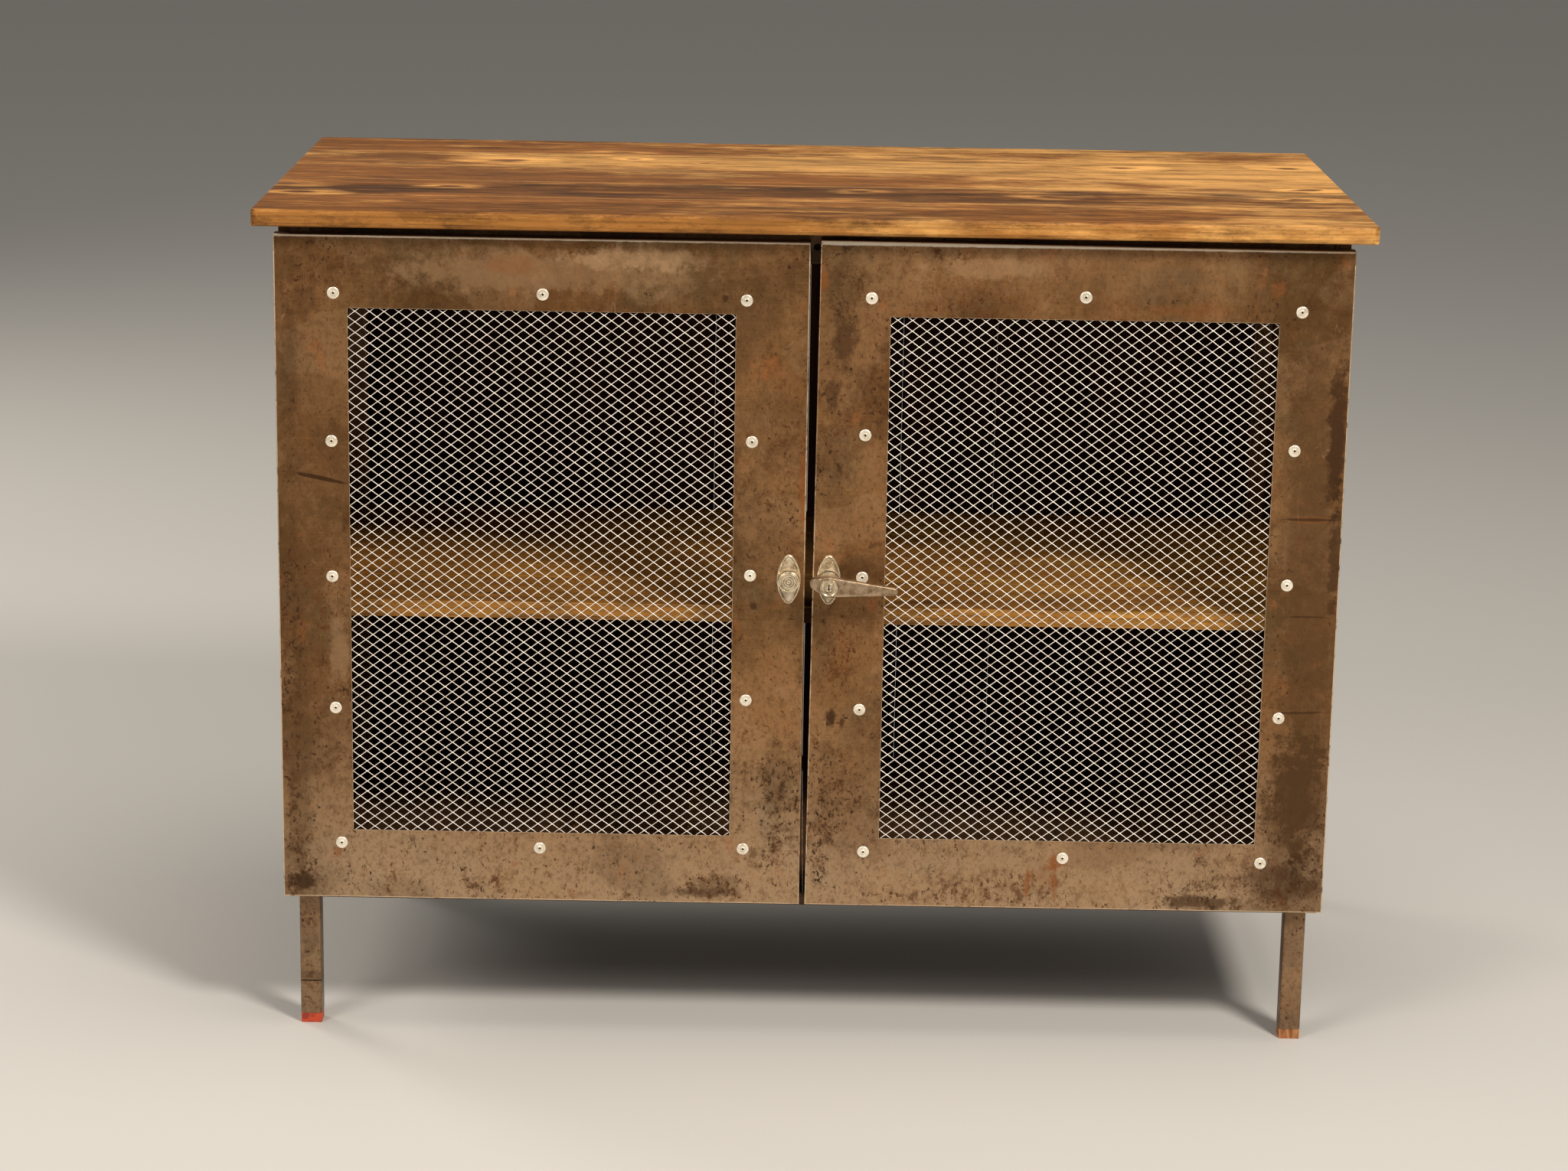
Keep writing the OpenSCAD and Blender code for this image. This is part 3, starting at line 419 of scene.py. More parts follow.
# %% Wood
def grown_wood(name, order, first, pitch, colours, rings, knots=(), burns=(), joint=0.0, gloss=0.42,
               wear=0.5, combed=0.0, boards=5, gap_shade_half=0.0, unshaded_from=None):
    """order names the axes along, across and through the boards, which first and pitch count off.
    combed is where, counted in planks, the brush has cut deepest. A band across the middle, of a given
    half width, is darkened as painted shade where the gap between the doors looks in, and beyond a given
    depth the wood turns paler, for boards whose dark colours are painted shade everywhere but at the rear."""
    wood = Finish(name)
    axes = {"X": wood.x, "Y": wood.y, "Z": wood.z}
    along, across, through = (axes[letter] for letter in order)
    golden, brown, dark, scorched = (paint(*colour) for colour in colours)
    share = (across - first) / pitch
    number = wood.maths("FLOOR", share)
    chance = wood.node("ShaderNodeTexWhiteNoise", {"noise_dimensions": "1D"}, {"W": number + 0.5}, "Color")
    lot, pith_share, pith_depth = wood.split(chance)
    grown = wood.join(along + lot * 9.0, across, through)

    def grain(detail, roughness, lengthwise, crosswise, shift=(0, 0, 0)):
        """Noise drawn out along the boards, by how tightly it lies lengthwise and crosswise."""
        return wood.cloud(1.0, detail, roughness, (lengthwise, crosswise, crosswise), shift, grown)

    sway = grain(2, 0.5, 1.6, 3) - 0.5
    wobble = grain(2, 0.5, 5, 28) - 0.5
    pith = first + (number + 0.15 + pith_share * 0.7) * pitch
    aside = across - pith + sway * 0.09 + wobble * 0.008
    under = through + 0.03 + pith_depth * 0.05
    spread = wood.maths("SQRT", aside * aside + under * under)
    heart, halo = 0.0, 0.0
    torn = grain(3, 0.65, 26, 90) - 0.5
    for knot_along, knot_across, size in knots:
        far = (along - knot_along) / (size * 2.2) + wobble * 2.2 + torn
        near = (across - knot_across) / size + sway * 1.5 + torn * 2.0
        distance = far * far + near * near
        spread = spread + wood.maths("EXPONENT", distance * -0.22) * (size * 0.8)
        heart = heart + (1 - wood.step(distance, 0.1, 0.8))
        halo = halo + (1 - wood.step(distance, 0.0, 6.5))
    ring = wood.maths("FRACT", spread * rings + wobble * 0.8)
    late = wood.step(ring, 0.45, 0.9) * (1 - wood.step(ring, 0.92, 1.0))
    fibre = grain(3, 0.65, 14, 520)
    streak = grain(5, 0.74, 8, 80)
    smoke = grain(6, 0.78, 22, 56, (2, 7, 4))
    vein = wood.line(wood.maths("FRACT", spread * rings * 0.25 + wobble * 1.2), 0.5, 0.26)
    pits = wood.step(grain(3, 0.7, 150, 400, (5, 4, 2)), 0.6, 0.7)
    edge = 1 - wood.step(across - first, 0.5 * MM, 3 * MM)
    lines = wood.step(grain(3, 0.7, 3.0, 330, (1, 2, 3)), 0.56, 0.66)
    broad = grain(6, 0.7, 4.5, 12)
    burnt = wood.step(grain(7, 0.76, 6, 32, (3, 5, 1)) * 0.76 + smoke * 0.24, 0.5, 0.59)
    brushed = wood.line(grain(3, 0.6, 1.8, 40, (7, 2, 9)), 0.5, 0.034)
    for burn_along, burn_across, long_half, wide_half, power in burns:
        far = (along - burn_along) / long_half + wobble
        near = (across - burn_across) / wide_half + sway
        burnt = burnt + (1 - wood.step(far * far + near * near, 0.1, 1.4)) * power
    burnt = wood.maths("MINIMUM", burnt, 1.0) * (1 - wood.maths("MINIMUM", halo, 1.0) * 0.7)
    comb = 0.3 + (1 - wood.step(wood.maths("ABSOLUTE", share - combed), 0.4, 0.6)) * 0.7
    burnt = burnt * (1 - edge * 0.5)
    # Along X the tone turns more golden towards the right.
    duller = wood.step(broad + (lot - 0.5) * 0.2 - along * 0.2 * (order[0] == "X"), 0.38, 0.6)
    wood.colour = wood.blend(golden, brown, duller * (1 - edge * 0.2))
    wood.lay(dark, late * 0.3 + wood.step(streak, 0.5, 0.62) * 0.34)
    wood.lay(dark, wood.step(smoke, 0.53, 0.6) * (0.2 + duller * 0.14))
    wood.lay(dark, vein * wood.step(streak, 0.3, 0.5) * comb * 0.8)
    wood.lay(scorched, brushed * (0.3 + burnt * 0.4) * comb)
    wood.lay(scorched, pits * (0.16 + edge * 0.4))
    wood.lay(scorched, burnt * (0.36 + late * 0.16 + lines * 0.3) * wood.step(streak, 0.3, 0.6))
    wood.lay(scorched, lines * wood.step(burnt, 0.1, 0.6) * 0.5)
    pale = tuple(min(1.0, channel * 1.6) for channel in golden[:3]) + (1.0,)
    glow = wood.step(streak, 0.46, 0.3) * 0.22 + wood.step(fibre, 0.58, 0.75) * 0.16
    wood.lay(pale, glow * (1 - burnt * 0.6))
    if knots:
        halo = wood.maths("MINIMUM", halo, 1.0) * (1 - lines * 0.8)
        wood.lay(pale, halo * wood.step(streak, 0.64, 0.36) * (1 - late * 0.5) * 0.6)
        wood.lay((70, 36, 18), wood.maths("MINIMUM", heart, 1.0) * 0.85)
    # Beyond that depth the wood turns paler: the rear face lies outside the shade that is painted into the
    # dark colours.
    if unshaded_from:
        unshaded_rear = wood.step(through, unshaded_from - 1 * MM, unshaded_from) * wood.step(broad, 0.3, 0.6)
        wood.lay((122, 84, 52), unshaded_rear * (1 - late * 0.5) * 0.42)
    if joint:
        inside = wood.step(wood.maths("ABSOLUTE", share - boards / 2), boards / 2 - 0.2, boards / 2 - 0.3)
        crack = wood.maths("PINGPONG", share, 0.5) * pitch
        seam = (1 - wood.step(crack, joint * 3, joint * 7)) * inside * wood.step(broad, 0.42, 0.5)
        wood.lay(pale, seam * 0.3)
        wood.lay((20, 13, 8), (1 - wood.step(crack, joint, joint * 1.6)) * inside * 0.9)
    # Painted shade: a dark band across the middle, where the gap between the doors looks in.
    if gap_shade_half:
        painted_gap_shade = 1 - wood.step(wood.maths("ABSOLUTE", along) + (broad - 0.5) * gap_shade_half, gap_shade_half * 0.7, gap_shade_half * 1.3)
        wood.lay((34, 22, 12), painted_gap_shade * 0.8)
    worn = wood.mark("arris") * wood.step(wood.cloud(38, 3, 0.6), 0.42, 0.58)
    wood.lay((214, 160, 92), worn * wear)
    rough = gloss + late * 0.1 + (fibre - 0.5) * 0.25
    relief = late * -0.5 + fibre * 0.35 + streak * 0.3 - lines * 0.4
    return wood.surface(rough, 0.0, relief, 0.35 * MM, 0.0, 0.14)


# %% [markdown]
# The knots of the top lie where the picture shows them, each by its place along the plank, its place
# across the top and its half width in metres.

# %% Wood finishes
def board_row(axis, count, first_part, last_part=None):
    """Where a row of boards begins along an axis, and the width that each board takes up."""
    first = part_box(first_part)[0][axis]
    return first, (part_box(last_part or first_part)[1][axis] - first) / count


top_knots = (
    (-0.376, 0.130, 0.014), (-0.246, 0.222, 0.010), (-0.222, 0.161, 0.006),
    (-0.612, -0.104, 0.012), (-0.586, -0.172, 0.012), (-0.424, -0.103, 0.009),
    (-0.134, 0.131, 0.005), (0.387, 0.152, 0.011), (0.596, 0.172, 0.010), (0.592, -0.020, 0.012),
    (0.570, -0.101, 0.012), (0.274, -0.112, 0.010), (0.053, -0.092, 0.009),
)
top_burns = (
    (0.240, 0.108, 0.150, 0.030, 0.8), (-0.400, -0.140, 0.300, 0.035, 0.9),
    (0.060, -0.080, 0.250, 0.040, 0.6), (-0.100, -0.250, 0.420, 0.050, 0.50),
    (-0.500, 0.150, 0.090, 0.030, 0.5), (0.020, 0.150, 0.200, 0.060, 0.5),
    (-0.300, 0.020, 0.260, 0.070, 0.5),
)
pine = ((206, 152, 84), (132, 80, 30), (66, 38, 13), (38, 24, 11))
top_wood = grown_wood(
    "plank pine", "XYZ", *board_row(1, 5, "top_plank_1", "top_plank_5"), pine, 130.0, top_knots, top_burns,
    0.6 * MM, 0.46, combed=1.5,
)
shelf_pine = ((196, 142, 62), (150, 100, 42), (98, 64, 28), (72, 48, 24))
# The shelf carries a band of painted shade in the middle, behind the gap between the doors.
shelf_wood = grown_wood(
    "shelf pine", "XYZ", *board_row(1, 4, "shelf_board_1", "shelf_board_4"), shelf_pine, 130.0, gloss=0.6,
    gap_shade_half=0.014,
)
back_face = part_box("back_boards")[1].y
# The back boards' dark colours are painted shade for the inside of the cabinet; their rear face turns
# partly paler.
painted_shade_pine = ((64, 35, 15), (46, 25, 10), (32, 17, 7), (20, 11, 5))
back_wood = grown_wood(
    "back pine", "ZXY", *board_row(0, 10, "back_boards"), painted_shade_pine, 120.0, joint=1.1 * MM, gloss=0.7,
    wear=0.0, boards=10, unshaded_from=back_face - 1 * MM,
)
floor_pine = ((84, 58, 36), (68, 46, 28), (48, 32, 20), (36, 25, 17))
floor_wood = grown_wood(
    "floor pine", "YXZ", *board_row(0, 8, "floor_boards"), floor_pine, 120.0, gloss=0.65
)
print("woods:", top_wood.name, shelf_wood.name, back_wood.name, floor_wood.name)

# %% [markdown]
# ## Small metal, rubber and painted wood
# Mesh and rivets are zinc and aluminium gone cream with lacquer, the lock is worn nickel over brass,
# and the pads are offcuts dipped in red paint, of which the right one has lost most. These finishes
# share one recipe of two tones, grime in the pits, bright arrises, and hollows darkened partly by grime
# and partly as painted shade.

# %% Small metal
def small_metal(name, light, dark, grime_and_shade, size, metal=0.75, rough=0.36, dirt=0.5, gleam=34):
    """size is how many blotches of tone fit in a metre; gleam is how much paler its arrises are."""
    finish = Finish(name)
    tone = finish.cloud(size, 4, 0.6)
    fine = finish.cloud(size * 6, 3, 0.6)
    pits = finish.step(finish.cloud(size * 3, 4, 0.7, shift=(3, 1, 2)), 0.58, 0.7)
    hollow = finish.step(finish.mark("hollow") + (fine - 0.5) * 0.3, 0.12, 0.75)
    finish.colour = finish.blend(dark, light, finish.step(tone * 0.7 + fine * 0.3, 0.38, 0.58))
    finish.lay(grime_and_shade, pits * dirt)
    # The hollows are darkened as painted shade, on top of the grime that gathers there.
    finish.lay(tuple(channel // 2 for channel in grime_and_shade), hollow * 0.85)
    worn = finish.step(finish.mark("arris") + (tone - 0.5) * 0.4, 0.2, 0.8)
    bright = tuple(min(250, channel + gleam) for channel in light)
    finish.lay(bright, worn * 0.8)
    roughness = rough + (tone - 0.5) * 0.3 + pits * 0.2 + hollow * 0.25 - worn * 0.1
    metallic = metal - pits * 0.3 - hollow * 0.4
    return finish.surface(roughness, metallic, fine * 0.3 + tone - pits * 0.6, 0.12 * MM)


def painted_pad(name, left_over):
    """Red paint on raw wood; left_over is how much of the paint is still there."""
    finish = Finish(name)
    fibre = finish.cloud(1.0, 3, 0.6, (300, 300, 30))
    chips = finish.step(finish.cloud(75, 4, 0.7), 0.5 - left_over, 0.62 - left_over)
    raw = finish.blend((178, 118, 66), (122, 74, 40), finish.step(fibre, 0.4, 0.62))
    red = finish.blend((184, 66, 32), (140, 44, 24), finish.step(finish.cloud(120, 3), 0.42, 0.62))
    finish.colour = finish.blend(raw, red, chips)
    return finish.surface(0.6 - chips * 0.15, 0.0, chips * 0.4 + fibre * 0.4, 0.2 * MM)


def soft_black(name):
    rubber = Finish(name)
    dust = rubber.cloud(240, 4, 0.7)
    rubber.colour = rubber.blend((34, 32, 30), (66, 62, 58), rubber.step(dust, 0.5, 0.75))
    return rubber.surface(0.7 + (dust - 0.5) * 0.3, 0.0, dust, 0.1 * MM)


METALS = (
    ("zinc mesh", (243, 234, 224), (210, 199, 187), (140, 122, 100), 60, 0.45, 0.42, 0.25),
    ("rivet aluminium", (240, 230, 212), (214, 202, 180), (120, 96, 66), 90, 0.5, 0.34, 0.12),
    ("worn nickel", (224, 206, 178), (170, 148, 116), (104, 80, 52), 120, 0.8, 0.28, 0.5),
    ("worn lever", (166, 142, 114), (118, 94, 68), (80, 54, 34), 90, 0.66, 0.34, 0.8, 16),
    ("worn chrome", (222, 206, 178), (170, 150, 118), (92, 70, 44), 200, 0.85, 0.24, 0.4),
    ("zinc fixings", (176, 172, 162), (136, 130, 118), (92, 72, 50), 180, 0.8, 0.35, 0.4),
)
(
    mesh_metal, rivet_metal, lock_casting, lever_casting, lock_chrome, fixing_metal,
) = (small_metal(*values) for values in METALS)
red_pad = painted_pad("red pad", 0.24)
worn_pad = painted_pad("worn pad", -0.03)
rubber = soft_black("buffer rubber")
print("small finishes:", mesh_metal.name, rivet_metal.name, lock_casting.name, lock_chrome.name)

# %% [markdown]
# ## Joining a piece to its body
# A piece rides on the body that its part belongs to and stands for the part that it replaces, which
# is hidden. Every piece below ends with this one call.

# %% Joining
body_of = {part: body for body, parts in frame["record"]["behaviour"]["bodies"].items() for part in parts}
slot_of = {entry["node"]: entry.get("material_slot") for entry in frame["record"]["subparts"]}


def fit_piece(name, mesh, *parts, finish=None):
    piece = linked(name, mesh)
    if finish:
        mesh.materials.clear()
        mesh.materials.append(finish)
    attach(piece, body_of[parts[0]])
    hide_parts(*parts)
    return piece


# %% [markdown]
# ## Softened arrises
# No sheet, tube or board has a perfectly sharp edge, and the thin line of light along an edge tells
# the eye what it is made of. A part from the frame is loose triangles, so its copy is merged and its
# flat faces joined first. Then the sharp edges are rounded in the mesh, and the new faces are marked,
# so that the finishes can show bright metal or pale wood there.

# %% Softening
def bare_shape(part):
    """The part's mesh as whole faces."""
    shape = bmesh.new()
    shape.from_mesh(frame["nodes"][part].data)
    bmesh.ops.remove_doubles(shape, verts=shape.verts, dist=0.003 * MM)
    bmesh.ops.dissolve_limit(shape, angle_limit=math.radians(0.4), verts=shape.verts, edges=shape.edges)
    shape.faces.layers.float.new("arris")
    return shape


def round_edges(shape, edges, radius, steps):
    """Rounds these edges and marks the new faces as arris."""
    rounded = bmesh.ops.bevel(
        shape, geom=edges, offset=radius, offset_type="OFFSET", segments=steps, profile=0.5,
        affect="EDGES", clamp_overlap=True, material=-1,
    )
    worn = shape.faces.layers.float["arris"]
    for face in rounded["faces"]:
        face[worn] = 1.0


def sharp_edges(shape, least_angle=28):
    limit = math.radians(least_angle)
    return [edge for edge in shape.edges if edge.is_manifold and edge.calc_face_angle() > limit]


def mark_relief(shape, reach, passes=2):
    """Marks on every corner how far it stands out of its neighbours (arris) or lies below them (hollow)."""
    shape.normal_update()
    shape.verts.ensure_lookup_table()
    beside = [[edge.other_vert(vert) for edge in vert.link_edges] for vert in shape.verts]
    level = []
    for vert, others in zip(shape.verts, beside):
        around = sum((other.co for other in others), Vector()) / len(others)
        level.append((around - vert.co).dot(vert.normal) / reach)
    for _ in range(passes):
        level = [
            level[vert.index] * 0.5 + sum(level[other.index] for other in others) * 0.5 / len(others)
            for vert, others in zip(shape.verts, beside)
        ]
    layers = shape.verts.layers.float
    hollow, arris = layers.new("hollow"), layers.new("arris")
    for vert, value in zip(shape.verts, level):
        vert[hollow] = min(1.0, max(0.0, value))
        vert[arris] = min(1.0, max(0.0, -value))
    return shape


def settled(shape, name, crease=50):
    """The finished mesh, smooth but for its creases."""
    mesh = bpy.data.meshes.new(name)
    shape.to_mesh(mesh)
    shape.free()
    mesh.shade_smooth()
    mesh.set_sharp_from_angle(angle=math.radians(crease))
    return mesh


def fit_shape(name, shape, part, finish, crease=50):
    """A finished shape as a piece."""
    return fit_piece(name, settled(shape, name, crease), part, finish=finish)


def even_shading(piece):
    """Large flat faces keep their own normal, so that the light turns only on the rounded edges."""
    weighted = piece.modifiers.new("even shading", "WEIGHTED_NORMAL")
    weighted.keep_sharp = True
    return piece


def box_shape(low, high):
    shape = bmesh.new()
    bmesh.ops.create_cube(shape, size=1.0)
    for vert in shape.verts:
        vert.co = Vector(low[axis] + (vert.co[axis] + 0.5) * (high[axis] - low[axis]) for axis in range(3))
    return shape


def added(shape, other):
    """Another shape's mesh, put into this one."""
    mesh = bpy.data.meshes.new("added")
    other.to_mesh(mesh)
    other.free()
    shape.from_mesh(mesh)
    return shape


def dressed(part, finish, radius=0.3 * MM, steps=2, fold=None):
    """A part of the frame with softened arrises and a finish; fold is a shape that is added to it."""
    shape = bare_shape(part)
    if fold:
        added(shape, fold)
    round_edges(shape, sharp_edges(shape), radius, steps)
    return even_shading(fit_shape(part + "_dressed", shape, part, finish))


# %% [markdown]
# ## Doors
# Each door is one sheet, folded back on four sides. A fold has the radius of the press, about as much
# as the sheet is thick, while the window and the rims of the flanges are cut edges with a hair of a
# burr. The long outer edges of the front are the folds, and everything else long is a cut.

# %% Folded doors
LONG_EDGE, FOLD_RADIUS, BURR_RADIUS = 15 * MM, 1.3 * MM, 0.25 * MM


def door_piece(part):
    shape = bare_shape(part)
    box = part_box(part)
    door_centre = centre_of(box)
    folds = []
    for edge in sharp_edges(shape, 60):
        centre = centre_of([vert.co for vert in edge.verts])
        outward = sum((face.normal for face in edge.link_faces), Vector())
        outward.y = 0
        on_front = abs(centre.y - box[0].y) < 0.01 * MM
        if on_front and edge.calc_length() > LONG_EDGE and outward.dot(centre - door_centre) > 0:
            folds.append(edge)
    round_edges(shape, folds, FOLD_RADIUS, 3)
    cuts = [edge for edge in sharp_edges(shape, 60) if edge.calc_length() > LONG_EDGE]
    round_edges(shape, cuts, BURR_RADIUS, 1)
    print(part, len(folds), "folds,", len(cuts), "cut edges")
    return even_shading(fit_shape(part + "_sheet", shape, part, door_steel))


for part in ("left_door", "right_door"):
    door_piece(part)

# %% [markdown]
# ## Legs, carcass and boards
# These parts have the right shape in the frame, so they only need their arrises and finishes. A square
# tube already has its rounded corners, so its cut ends are all that is softened there. The number
# beside each group is the radius of its arrises in millimetres.

# %% Dressed parts
def in_slot(slot):
    return [part for part, its_slot in slot_of.items() if its_slot == slot]


plain_parts = (
    (leg_steel, in_slot("leg_steel"), 0.3),
    (dark_steel, in_slot("dark_steel"), 0.3),
    (top_wood, in_slot("top_wood"), 0.3),
    (shelf_wood, in_slot("shelf_wood"), 0.8),
    (back_wood, ["back_boards"], 0.6),
    (floor_wood, ["floor_boards"], 0.6),
    (red_pad, ["pad_front_left", "pad_rear_left"], 0.5),
    (worn_pad, ["pad_front_right", "pad_rear_right"], 0.5),
    (fixing_metal, ["hinge_pins", "hinge_washers", "magnet_catches", "lever_spindle"], 0.2),
    (rubber, in_slot("rubber"), 0.4),
)
for finish, parts, radius in plain_parts:
    for part in parts:
        dressed(part, finish, radius * MM)
    print(finish.name, len(parts), "parts")

# %% [markdown]
# A side panel stands a little way off the floor's angle bars. Its lower edge is folded inwards over
# that slot, so that no light comes in from below when the doors are open.

# %% Side panels
SHEET = 1.5 * MM
HIDDEN = 0.2 * MM

for part in ("side_panel_left", "side_panel_right"):
    low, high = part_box(part)
    fold = box_shape(
        (low.x + HIDDEN, low.y + HIDDEN * 3, low.z + HIDDEN * 3),
        (high.x - HIDDEN, high.y - HIDDEN * 3, low.z + HIDDEN * 3 + SHEET),
    )
    dressed(part, panel_steel, 0.4 * MM, fold=fold)
    print(part, "with a fold", round((high.x - low.x) / MM, 1), "mm wide")

# %% [markdown]
# ## Geometry Nodes as a workshop tool
# A tool here is a Geometry Nodes tree with named sizes. The script sets the sizes by the sockets'
# identifiers, lets Blender work the tree out once, and keeps the plain mesh that comes out.

# %% Tools
class Tool(Bench):
    """A Geometry Nodes tree with named inputs, which ends in Realize Instances and Set Material."""

    def __init__(self, name):
        super().__init__(bpy.data.node_groups.new(name, "GeometryNodeTree"))
        self.tree.interface.new_socket("Geometry", in_out="OUTPUT", socket_type="NodeSocketGeometry")
        self.given = self.node("NodeGroupInput").socket.node

    def ask(self, name, kind="Float"):
        self.tree.interface.new_socket(name, in_out="INPUT", socket_type="NodeSocket" + kind)
        return Wire(self, self.given.outputs[name])

    def deliver(self, instances):
        real = self.node("GeometryNodeRealizeInstances", sockets={0: instances})
        coated = self.node("GeometryNodeSetMaterial", sockets={0: real, 2: self.ask("Finish", "Material")})
        self.node("NodeGroupOutput", sockets={0: coated})
        return self

    def work(self, name, sizes, material):
        """Runs the tool with these sizes and returns a plain mesh."""
        carrier = linked(name, bpy.data.meshes.new(name))
        modifier = carrier.modifiers.new(name, "NODES")
        modifier.node_group = self.tree
        values = dict(sizes, Finish=material)
        for socket in self.tree.interface.items_tree:
            if socket.in_out == "INPUT":
                modifier[socket.identifier] = values[socket.name]
        bpy.context.view_layer.update()
        evaluated = carrier.evaluated_get(bpy.context.evaluated_depsgraph_get())
        mesh = bpy.data.meshes.new_from_object(evaluated)
        bpy.data.objects.remove(carrier)
        return mesh


# %% [markdown]
# ## Expanded metal
# Expanded metal is one sheet, slit in rows and pulled open. Every strand then runs in a zigzag, held to
# the strand above at its upper bends and to the one below at its lower bends, and each bond leans,
# so that light catches it. The tree lays two points at every bond, moves them up or down by turns,
# gives the strand a flat section, and stacks shifted copies of it up the window.

# %% Expanded metal tool
def expanded_metal():
    tool = Tool("expanded_metal")
    width, height = tool.ask("Width"), tool.ask("Height")
    long_way, short_way = tool.ask("Long way"), tool.ask("Short way")
    wide, deep = tool.ask("Strand width"), tool.ask("Strand depth")
    bond, rake, lean = tool.ask("Bond"), tool.ask("Rake"), tool.ask("Lean")
    half_way, pitch = long_way / 2, short_way / 2
    bonds = tool.maths("FLOOR", width / half_way) - 1
    line = tool.node("GeometryNodeMeshLine", sockets={"Count": bonds * 2 + 2})
    index = tool.node("GeometryNodeInputIndex")
    number = tool.maths("FLOOR", index / 2)
    side = (index - number * 2) * 2 - 1
    up = tool.maths("PINGPONG", number, 1.0) * 2 - 1
    swing_height = short_way / 4 - wide * 0.36
    x = number * half_way + side * bond / 2
    bent = tool.join(x, up * rake * -1, up * swing_height)
    strand = tool.node("GeometryNodeSetPosition", sockets={0: line, 2: bent})
    curve = tool.node("GeometryNodeMeshToCurve", sockets={0: strand})
    curve = tool.node("GeometryNodeSetCurveNormal", {"mode": "Z_UP"}, {0: curve})
    curve = tool.node("GeometryNodeSetCurveTilt", sockets={0: curve, "Tilt": lean})
    section = tool.node("GeometryNodeCurvePrimitiveQuadrilateral", sockets={0: wide, 1: deep})
    bar = tool.node("GeometryNodeCurveToMesh", sockets={0: curve, 1: section, "Fill Caps": True})
    rows = tool.node("GeometryNodeMeshLine", sockets={"Count": tool.maths("FLOOR", height / pitch)})
    row = tool.node("GeometryNodeInputIndex")
    shift = tool.maths("PINGPONG", row, 1.0) * half_way
    spot = tool.join(shift, 0.0, row * pitch)
    stack = tool.node("GeometryNodeSetPosition", sockets={0: rows, 2: spot})
    return tool.deliver(tool.node("GeometryNodeInstanceOnPoints", sockets={0: stack, "Instance": bar}))


mesh_tool = expanded_metal()
LONG_WAY = 16.6 * MM
SHORT_WAY = 12.2 * MM

for side in ("left", "right"):
    low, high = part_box(side + "_mesh")
    sizes = {
        "Width": high.x - low.x, "Height": high.z - low.z - SHORT_WAY / 4, "Long way": LONG_WAY,
        "Short way": SHORT_WAY, "Strand width": 0.84 * MM, "Strand depth": 0.72 * MM, "Bond": 1.2 * MM,
        "Rake": 0.2 * MM, "Lean": math.radians(30),
    }
    net = mesh_tool.work(side + "_net", sizes, mesh_metal)
    box = ends([vert.co for vert in net.vertices])
    net.transform(Matrix.Translation(centre_of((low, high)) - centre_of(box)))
    fit_piece(side + "_expanded_metal", net, side + "_mesh")
    print(side, "mesh", len(net.polygons), "faces,", [round(s / MM, 1) for s in box[1] - box[0]], "mm")

# %% [markdown]
# ## Turned shapes
# Rivets, screws, bosses and the lock cylinder are all turned or pressed round. A profile of radius and
# depth is swept round an axis that runs from front to back. The ends on the axis close to a point,
# and the mesh's normals are recalculated, because a sweep can turn a shape inside out.

# %% Lathe
def skin(shape, rings, closed=False):
    """Faces between each ring of corners and the next one, and over both ends if it is closed."""
    for ring, following in zip(rings, rings[1:]):
        for step in range(len(ring)):
            beside = (step + 1) % len(ring)
            shape.faces.new((ring[step], ring[beside], following[beside], following[step]))
    if closed:
        shape.faces.new(rings[0])
        shape.faces.new(rings[-1])
        bmesh.ops.recalc_face_normals(shape, faces=shape.faces)


def turned(profile, sides=48, middle=(0, 0, 0)):
    """A shape turned about an axis along Y; the profile holds (radius, y) in millimetres."""
    shape = bmesh.new()
    rings = []
    for radius, depth in profile:
        ring = []
        for step in range(sides):
            angle = math.tau * step / sides
            x = middle[0] + radius * MM * math.cos(angle)
            z = middle[2] + radius * MM * math.sin(angle)
            ring.append(shape.verts.new((x, middle[1] + depth * MM, z)))
        rings.append(ring)
    skin(shape, rings)
    bmesh.ops.remove_doubles(shape, verts=shape.verts, dist=0.0005 * MM)
    bmesh.ops.recalc_face_normals(shape, faces=shape.faces)
    return shape


def islands(part):
    """The lowest and highest corner of each of a part's separate pieces."""
    shape = bare_shape(part)
    left = set(shape.verts)
    places = []
    while left:
        queue = [left.pop()]
        found = []
        while queue:
            vert = queue.pop()
            found.append(vert.co.copy())
            beside = left.intersection(edge.other_vert(vert) for edge in vert.link_edges)
            left -= beside
            queue += beside
        places.append(ends(found))
    shape.free()
    return sorted(places, key=lambda corners: tuple(corners[0]))


def spots_at(part, y):
    """The middles of a part's separate pieces, all at this y."""
    return [(spot.x, y, spot.z) for spot in map(centre_of, islands(part))]


# %% [markdown]
# ## Rivets
# Broad-flange blind rivets hold the mesh. Each has a wide dished flange, a raised crown with a rounded
# lip, and a dark hollow where the pin broke off, which the finish darkens further as painted shade. One
# rivet is turned, and a tool sets copies of it on the places of the rivets in the frame, each twisted and
# tipped a little by chance.

# %% Setting out tool
def setting_tool():
    tool = Tool("setting_out")
    places, shape = (
        tool.node("GeometryNodeObjectInfo", sockets={"Object": tool.ask(name, "Object")}, output="Geometry")
        for name in ("Places", "Shape")
    )
    tip = tool.ask("Tip")
    seed = tool.ask("Seed", "Int")
    least, most = tool.join(0 - tip, 0.0, 0 - tip), tool.join(tip, math.tau, tip)
    turn = tool.node(
        "FunctionNodeRandomValue", {"data_type": "FLOAT_VECTOR"}, {0: least, 1: most, "Seed": seed}
    )
    return tool.deliver(
        tool.node("GeometryNodeInstanceOnPoints", sockets={0: places, "Instance": shape, "Rotation": turn})
    )


setter = setting_tool()


